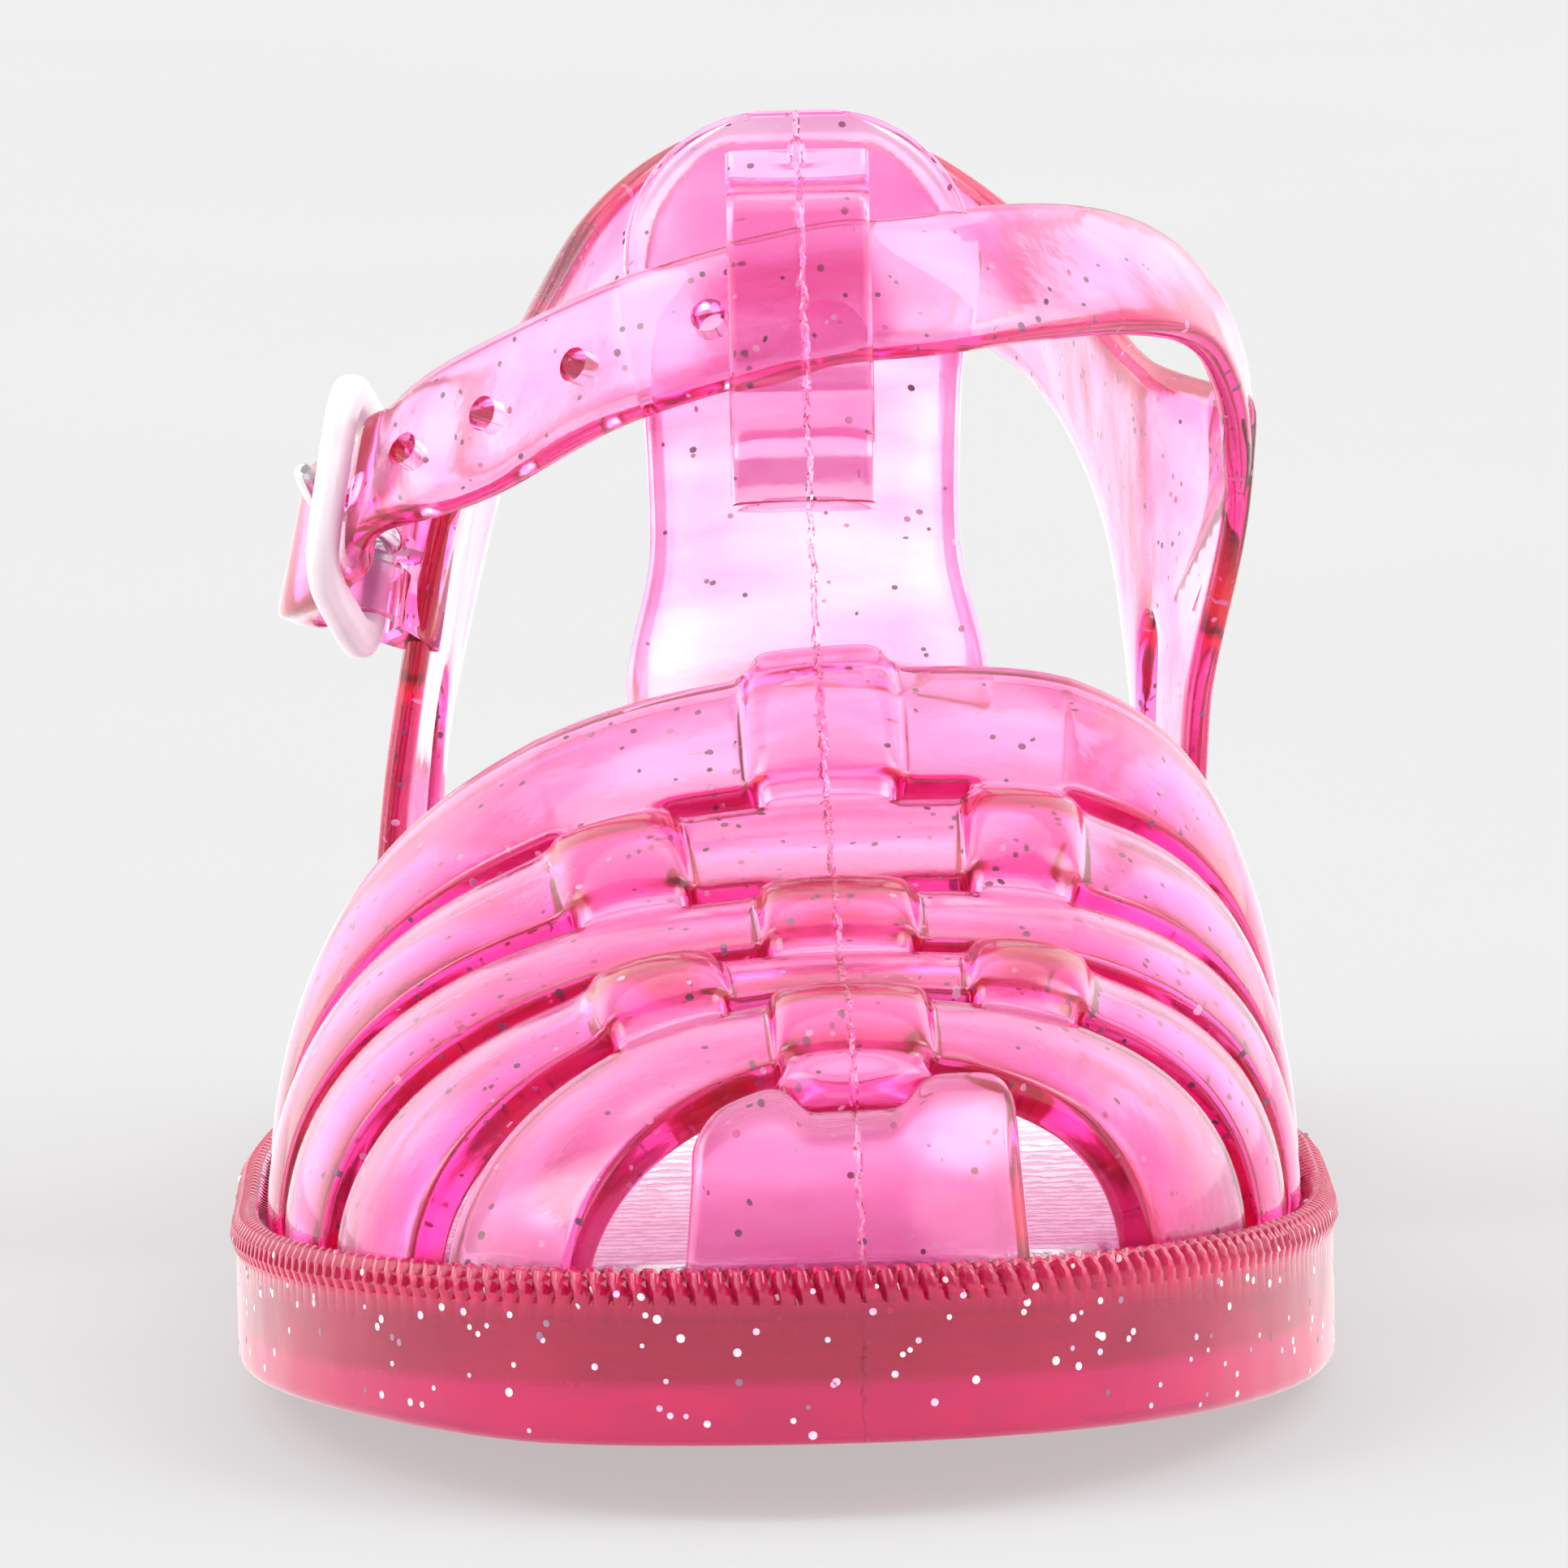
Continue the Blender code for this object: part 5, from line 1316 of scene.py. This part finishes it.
def deep_flakes(thing, count, depth, chance):
    """Places of flakes a little way under a piece's surface, with the directions that they face."""
    spots, normals = surface_samples(thing, count, chance)
    spots = spots - normals * chance.uniform(*depth, count)[:, None]
    inside = [is_inside(thing, spot, normal) for spot, normal in zip(spots, normals)]
    return spots[inside], unit(normals[inside] + chance.normal(0.0, FLAKE_TILT, (sum(inside), 3)))


def side_flakes(thing, count, chance):
    """Places of flakes that lie in the skin of a piece's upright sides."""
    spots, normals = surface_samples(thing, count, chance)
    upright = np.abs(normals[:, 2]) < UPRIGHT
    return spots[upright], normals[upright]


def make_flakes(name, spots, tilted, dark_share, chance):
    """Thin glitter discs at given places, each of one of two foils."""
    count = len(spots)
    aside = unit(np.cross(tilted, chance.normal(0.0, 1.0, (count, 3))))
    other = np.cross(tilted, aside)
    radius = chance.uniform(FLAKE_RADIUS_LOW, FLAKE_RADIUS_HIGH, count)
    turn = around(FLAKE_SIDES)
    points, faces, shades = [], [], []
    dark = chance.random(count) < dark_share
    for k in range(count):
        ring = radius[k] * (np.cos(turn)[:, None] * aside[k] + np.sin(turn)[:, None] * other[k])
        start = len(points)
        for by in (-FLAKE_THICK / 2, FLAKE_THICK / 2):
            points += list(spots[k] + ring + tilted[k] * by)
        faces += prism_faces(start, FLAKE_SIDES)
        shades += [int(dark[k])] * (FLAKE_SIDES + 2)
    flakes = add_mesh(name, np.array(points), faces)
    for foil in FOILS:
        flakes.data.materials.append(bpy.data.materials[foil])
    flakes.data.polygons.foreach_set("material_index", np.array(shades, np.int32))
    return flakes


class Wiring:
    """Node tree of a material or world, with short calls to add and join nodes."""

    def __init__(self, owner, shader="Principled BSDF", coordinates="Object"):
        owner.use_nodes = True
        self.owner = owner
        self.tree = owner.node_tree
        self.shader = self.tree.nodes[shader].inputs
        self.place = self.node("ShaderNodeTexCoord").outputs[coordinates]

    def node(self, kind, values=(), **settings):
        """A new node with its settings and with fixed values for some of its inputs."""
        node = self.tree.nodes.new(kind)
        for key, value in settings.items():
            setattr(node, key, value)
        for key, value in dict(values).items():
            node.inputs[key].default_value = value
        return node

    def join(self, source, target):
        self.tree.links.new(source, target)

    def fix(self, values):
        """Fixed values for some of the shader's inputs."""
        for key, value in values.items():
            self.shader[key].default_value = value

    def noise(self, scale, detail=2.0, stretch=None):
        """Noise value at the object's own coordinates, drawn out along some axes if a stretch is given."""
        node = self.node("ShaderNodeTexNoise", {"Scale": scale, "Detail": detail})
        source = self.place
        if stretch:
            mapping = self.node("ShaderNodeMapping", {"Scale": stretch})
            self.join(source, mapping.inputs["Vector"])
            source = mapping.outputs["Vector"]
        self.join(source, node.inputs["Vector"])
        return node.outputs["Fac"]

    def ramp(self, value, stops):
        """Colour ramp over a value, with two stops."""
        node = self.node("ShaderNodeValToRGB")
        for end, (position, colour) in zip(node.color_ramp.elements, stops):
            end.position = position
            end.color = (*colour, 1.0)
        self.join(value, node.inputs["Fac"])
        return node.outputs["Color"]

    def mottle(self, scale, tones, low=0.35, high=0.65):
        """Base colour that drifts between two tones."""
        colour = self.ramp(self.noise(scale), ((low, tones[0]), (high, tones[1])))
        self.join(colour, self.shader["Base Color"])

    def roughness(self, scale, low, high):
        """Roughness that drifts between two values."""
        self.join(self.spread(self.noise(scale), low, high), self.shader["Roughness"])

    def spread(self, value, low, high, start=0.0, end=1.0, kind="LINEAR"):
        """A value mapped from one range to another."""
        ends = {"From Min": start, "From Max": end, "To Min": low, "To Max": high}
        node = self.node("ShaderNodeMapRange", ends, interpolation_type=kind)
        self.join(value, node.inputs["Value"])
        return node.outputs["Result"]

    def math(self, operation, first, second):
        """One step of arithmetic on two values, of which the second may be a number."""
        node = self.node("ShaderNodeMath", operation=operation)
        self.join(first, node.inputs[0])
        if isinstance(second, float):
            node.inputs[1].default_value = second
        else:
            self.join(second, node.inputs[1])
        return node.outputs["Value"]

    def split(self):
        """The three coordinates one by one."""
        node = self.node("ShaderNodeSeparateXYZ")
        self.join(self.place, node.inputs["Vector"])
        return node.outputs

    def sole_height(self):
        """Height in metres over the sole's bottom, which lifts toward the toe."""
        axes = self.split()
        toe = -LENGTH / 2 * MM
        lift = self.spread(axes["Y"], 1.0, 0.0, toe, toe + TOE_LIFT_LENGTH * MM)
        lift = self.math("MULTIPLY", self.math("POWER", lift, TOE_LIFT_POWER), TOE_LIFT * MM)
        return self.math("SUBTRACT", axes["Z"], lift)

    def seam(self):
        """Thin raised line down the middle of the mould, with ragged sides."""
        axes = self.split()
        toe, throat = (y * MM for y in SEAM_REACH)
        drift = self.spread(axes["Y"], SEAM_TOE_X * MM, SEAM_THROAT_X * MM, toe, throat)
        ragged = self.spread(self.noise(SEAM_SCALE), -SEAM_HALF * MM, SEAM_HALF * MM, *SEAM_RAGGED)
        aside = self.math("SUBTRACT", axes["X"], self.math("ADD", drift, ragged))
        return self.spread(self.math("ABSOLUTE", aside, 0.0), 1.0, 0.0, 0.0, SEAM_HALF * MM)

    def blend(self, colour, other, share):
        """A colour mixed with a fixed one by a share."""
        node = self.node("ShaderNodeMix", {"B": (*other, 1.0)}, data_type="RGBA")
        self.join(share, node.inputs["Factor"])
        self.join(colour, node.inputs["A"])
        return node.outputs["Result"]

    def bump(self, height, distance, below=None):
        """Bump from a height, over another bump if there is one."""
        node = self.node("ShaderNodeBump", {"Distance": distance})
        self.join(height, node.inputs["Height"])
        if below is not None:
            self.join(below, node.inputs["Normal"])
        return node.outputs["Normal"]

    def absorb(self, passed, density):
        """Even absorption of light inside the piece."""
        node = self.node("ShaderNodeVolumeAbsorption", {"Color": (*passed, 1.0), "Density": density})
        self.join(node.outputs["Volume"], self.tree.nodes["Material Output"].inputs["Volume"])


def new_wiring(name):
    return Wiring(bpy.data.materials.new(name))


def jelly_material(name, tone_and_sheen, passed, density, clear, wave, painted_floor_light=None):
    """Clear soft plastic with a wavy moulded face and streaky colour whose near-white streaks in the upper
    are painted sheen; given a low colour, the sole gets painted floor light on its lower band and a painted
    lighter welt.
    """
    wiring = new_wiring(name)
    wiring.fix({"Transmission Weight": clear, "IOR": JELLY_BEND})
    # Streaky surface colour: random tone, with a painted sheen at its pale end
    streaks = wiring.noise(STREAK_SCALE, STREAK_DETAIL, STREAKS)
    colour = wiring.ramp(streaks, ((STREAK_LOW, tone_and_sheen[0]), (STREAK_HIGH, tone_and_sheen[1])))
    if painted_floor_light:
        # Painted floor light on the lower band, by height over the sole's bottom
        rise = wiring.sole_height()
        colour = wiring.blend(colour, painted_floor_light, wiring.spread(rise, 1.0, 0.0, SOLE_LOW_UP, SOLE_HIGH_UP))
        # Painted lighter welt near the sole's top
        colour = wiring.blend(colour, WELT_PAINTED_LIGHT, wiring.spread(rise, 0.0, 1.0, WELT_LOW_UP, WELT_HIGH_UP))
    wiring.join(colour, wiring.shader["Base Color"])
    wiring.roughness(*JELLY_ROUGH)
    waves = wiring.bump(wiring.noise(WAVE_SCALE), wave)
    grain = wiring.bump(wiring.noise(GRAIN_SCALE, GRAIN_DETAIL), GRAIN_HIGH, waves)
    wiring.join(wiring.bump(wiring.seam(), SEAM_HIGH * MM, grain), wiring.shader["Normal"])
    wiring.absorb(passed, density)
    return wiring.owner


def footbed_material():
    """Frosted pale plastic with rows of fine wavy ridges, whose pale dashes are painted glints."""
    wiring = new_wiring("footbed_frost")
    wiring.roughness(*FOOTBED_ROUGH)
    rows = wiring.node("ShaderNodeTexWave", FOOTBED_ROWS, wave_type="BANDS", bands_direction="Y")
    wiring.join(wiring.place, rows.inputs["Vector"])
    wiring.join(wiring.ramp(rows.outputs["Fac"], FOOTBED_TONES_AND_GLINTS), wiring.shader["Base Color"])
    wiring.join(wiring.bump(rows.outputs["Fac"], FOOTBED_HIGH), wiring.shader["Normal"])
    return wiring.owner


def buckle_material():
    """Milky plastic with soft mottling."""
    wiring = new_wiring("buckle_milk")
    wiring.mottle(BUCKLE_TONE_SCALE, BUCKLE_TONES)
    wiring.fix({
        "Subsurface Weight": 1.0,
        "Subsurface Radius": (1.0, 1.0, 1.0),
        "Subsurface Scale": BUCKLE_SOFT_DEPTH,
    })
    wiring.roughness(*BUCKLE_ROUGH)
    wiring.join(wiring.bump(wiring.noise(BUCKLE_SCALE), BUCKLE_HIGH), wiring.shader["Normal"])
    return wiring.owner


def mottled_material(name, scale, tones, rough, metal=0.0):
    """Plain surface whose tone and gloss drift a little, as steel or as foil."""
    wiring = new_wiring(name)
    wiring.fix({"Metallic": metal})
    wiring.mottle(scale, tones)
    wiring.roughness(*rough)
    return wiring.owner


def floor_material(name, tones, glow):
    """Plain pale studio surface with a glow of its own."""
    wiring = new_wiring(name)
    wiring.fix({
        "Roughness": 1.0,
        "Specular IOR Level": 0.0,
        "Emission Color": (1.0, 1.0, 1.0, 1.0),
        "Emission Strength": glow,
    })
    wiring.mottle(FLOOR_TONE_SCALE, tones, *FLOOR_TONE_RANGE)
    wiring.owner.cycles.emission_sampling = "NONE"
    return wiring.owner


def make_floor(name, up, material):
    """Wide plain surface under the sandal."""
    half = FLOOR_HALF / MM
    corners = [(-half, -half), (half, -half), (half, half), (-half, half)]
    floor = add_mesh(name, np.array([(x, y, up) for x, y in corners]), [(0, 1, 2, 3)])
    floor.data.materials.append(material)
    return floor


def make_floors():
    """Floor that the camera sees, over a light table that lights the clear plastic from below and behind."""
    floor = make_floor("studio_floor", FLOOR_UP, floor_material("floor_paint", FLOOR_TONES, FLOOR_GLOW))
    glowing = make_floor("light_table", TABLE_UP, floor_material("table_glow", TABLE_TONES, TABLE_GLOW))
    for way in ("diffuse", "glossy", "transmission", "volume_scatter", "shadow"):
        setattr(floor, "visible_" + way, False)
    glowing.visible_camera = False


def make_world():
    """Soft white light all round, a little darker on the camera's side, with bright fields."""
    world = bpy.data.worlds.new("soft_studio")
    bpy.context.scene.world = world
    wiring = Wiring(world, "Background", "Generated")
    world.cycles.sampling_method = "NONE"
    fields = []
    for (x, y, z), *rest in SIDE_FIELDS:
        fields += [((-x, y, z), *rest), ((x, y, z), *rest)]
    total = wiring.spread(wiring.split()["Y"], WORLD_FRONT, WORLD_BACK, *WORLD_BLEND, "SMOOTHSTEP")
    for toward, rim, full, strength in (*fields, *MIDDLE_FIELDS):
        dot = wiring.node("ShaderNodeVectorMath", operation="DOT_PRODUCT")
        dot.inputs[1].default_value = Vector(toward).normalized()
        wiring.join(wiring.place, dot.inputs[0])
        field = wiring.spread(dot.outputs["Value"], 0.0, strength, rim, full, "SMOOTHSTEP")
        total = wiring.math("ADD", total, field)
    wiring.join(total, wiring.shader["Strength"])
    wiring.fix({"Color": (1.0, 1.0, 1.0, 1.0)})


def add_camera():
    """Camera in front of the toe, a little above it."""
    down, roll = math.radians(VIEW_DOWN), math.radians(VIEW_ROLL)
    forward = Vector((0, math.cos(down), -math.sin(down)))
    up = Vector((0, math.sin(down), math.cos(down)))
    right = Vector((1, 0, 0))
    toe = Vector((VIEW_TARGET_X, -LENGTH / 2, TOE_LIFT))
    eye = toe - VIEW_DISTANCE * forward + VIEW_RAISE * up
    across = right * math.cos(roll) - up * math.sin(roll)
    upward = right * math.sin(roll) + up * math.cos(roll)
    lens = bpy.data.cameras.new("view")
    lens.sensor_width = SENSOR
    lens.lens = SENSOR * FOCAL_PIXELS / IMAGE_SIZE
    lens.clip_end = VIEW_FAR
    camera = bpy.data.objects.new("view", lens)
    turned = Matrix((across, upward, -forward)).transposed()
    camera.matrix_world = Matrix.Translation(eye * MM) @ turned.to_4x4()
    bpy.context.scene.collection.objects.link(camera)
    bpy.context.scene.camera = camera


def dress(piece, node, material):
    """Puts a piece in the place of a carried-over node."""
    piece.data.materials.clear()
    piece.data.materials.append(material)
    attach(piece, "root")
    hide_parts(node)


def set_light_paths():
    """Lets light through many layers of plastic and keeps plain colours."""
    scene = bpy.context.scene
    scene.view_settings.view_transform = "Standard"
    scene.cycles.max_bounces = LIGHT_BOUNCES
    scene.cycles.transmission_bounces = LIGHT_BOUNCES
    scene.cycles.glossy_bounces = LIGHT_BOUNCES
    scene.cycles.transparent_max_bounces = CLEAR_BOUNCES


def main():
    chance = np.random.default_rng(SEED)
    for name, tones in FOILS.items():
        mottled_material(name, FLAKE_TONE_SCALE, tones, FLAKE_ROUGH)
    upper, sole = make_upper(), make_sole()
    dress(upper, "upper", jelly_material("upper_jelly", **UPPER_JELLY))
    dress(sole, "sole", jelly_material("sole_jelly", **SOLE_JELLY))
    dress(make_insole(), "insole", footbed_material())
    dress(make_buckle(), "buckle_frame", buckle_material())
    steel = mottled_material("polished_steel", STEEL_TONE_SCALE, STEEL_TONES, STEEL_ROUGH, metal=1.0)
    dress(make_prong(), "buckle_prong", steel)
    deep = deep_flakes(upper, UPPER_FLAKES, UPPER_FLAKE_DEPTH, chance)
    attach(make_flakes("upper_glitter", *deep, UPPER_DARK_SHARE, chance), "root")
    side = side_flakes(sole, SOLE_FLAKES, chance)
    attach(make_flakes("sole_glitter", *side, SOLE_DARK_SHARE, chance), "root")
    make_floors()
    make_world()
    add_camera()
    set_light_paths()


main()
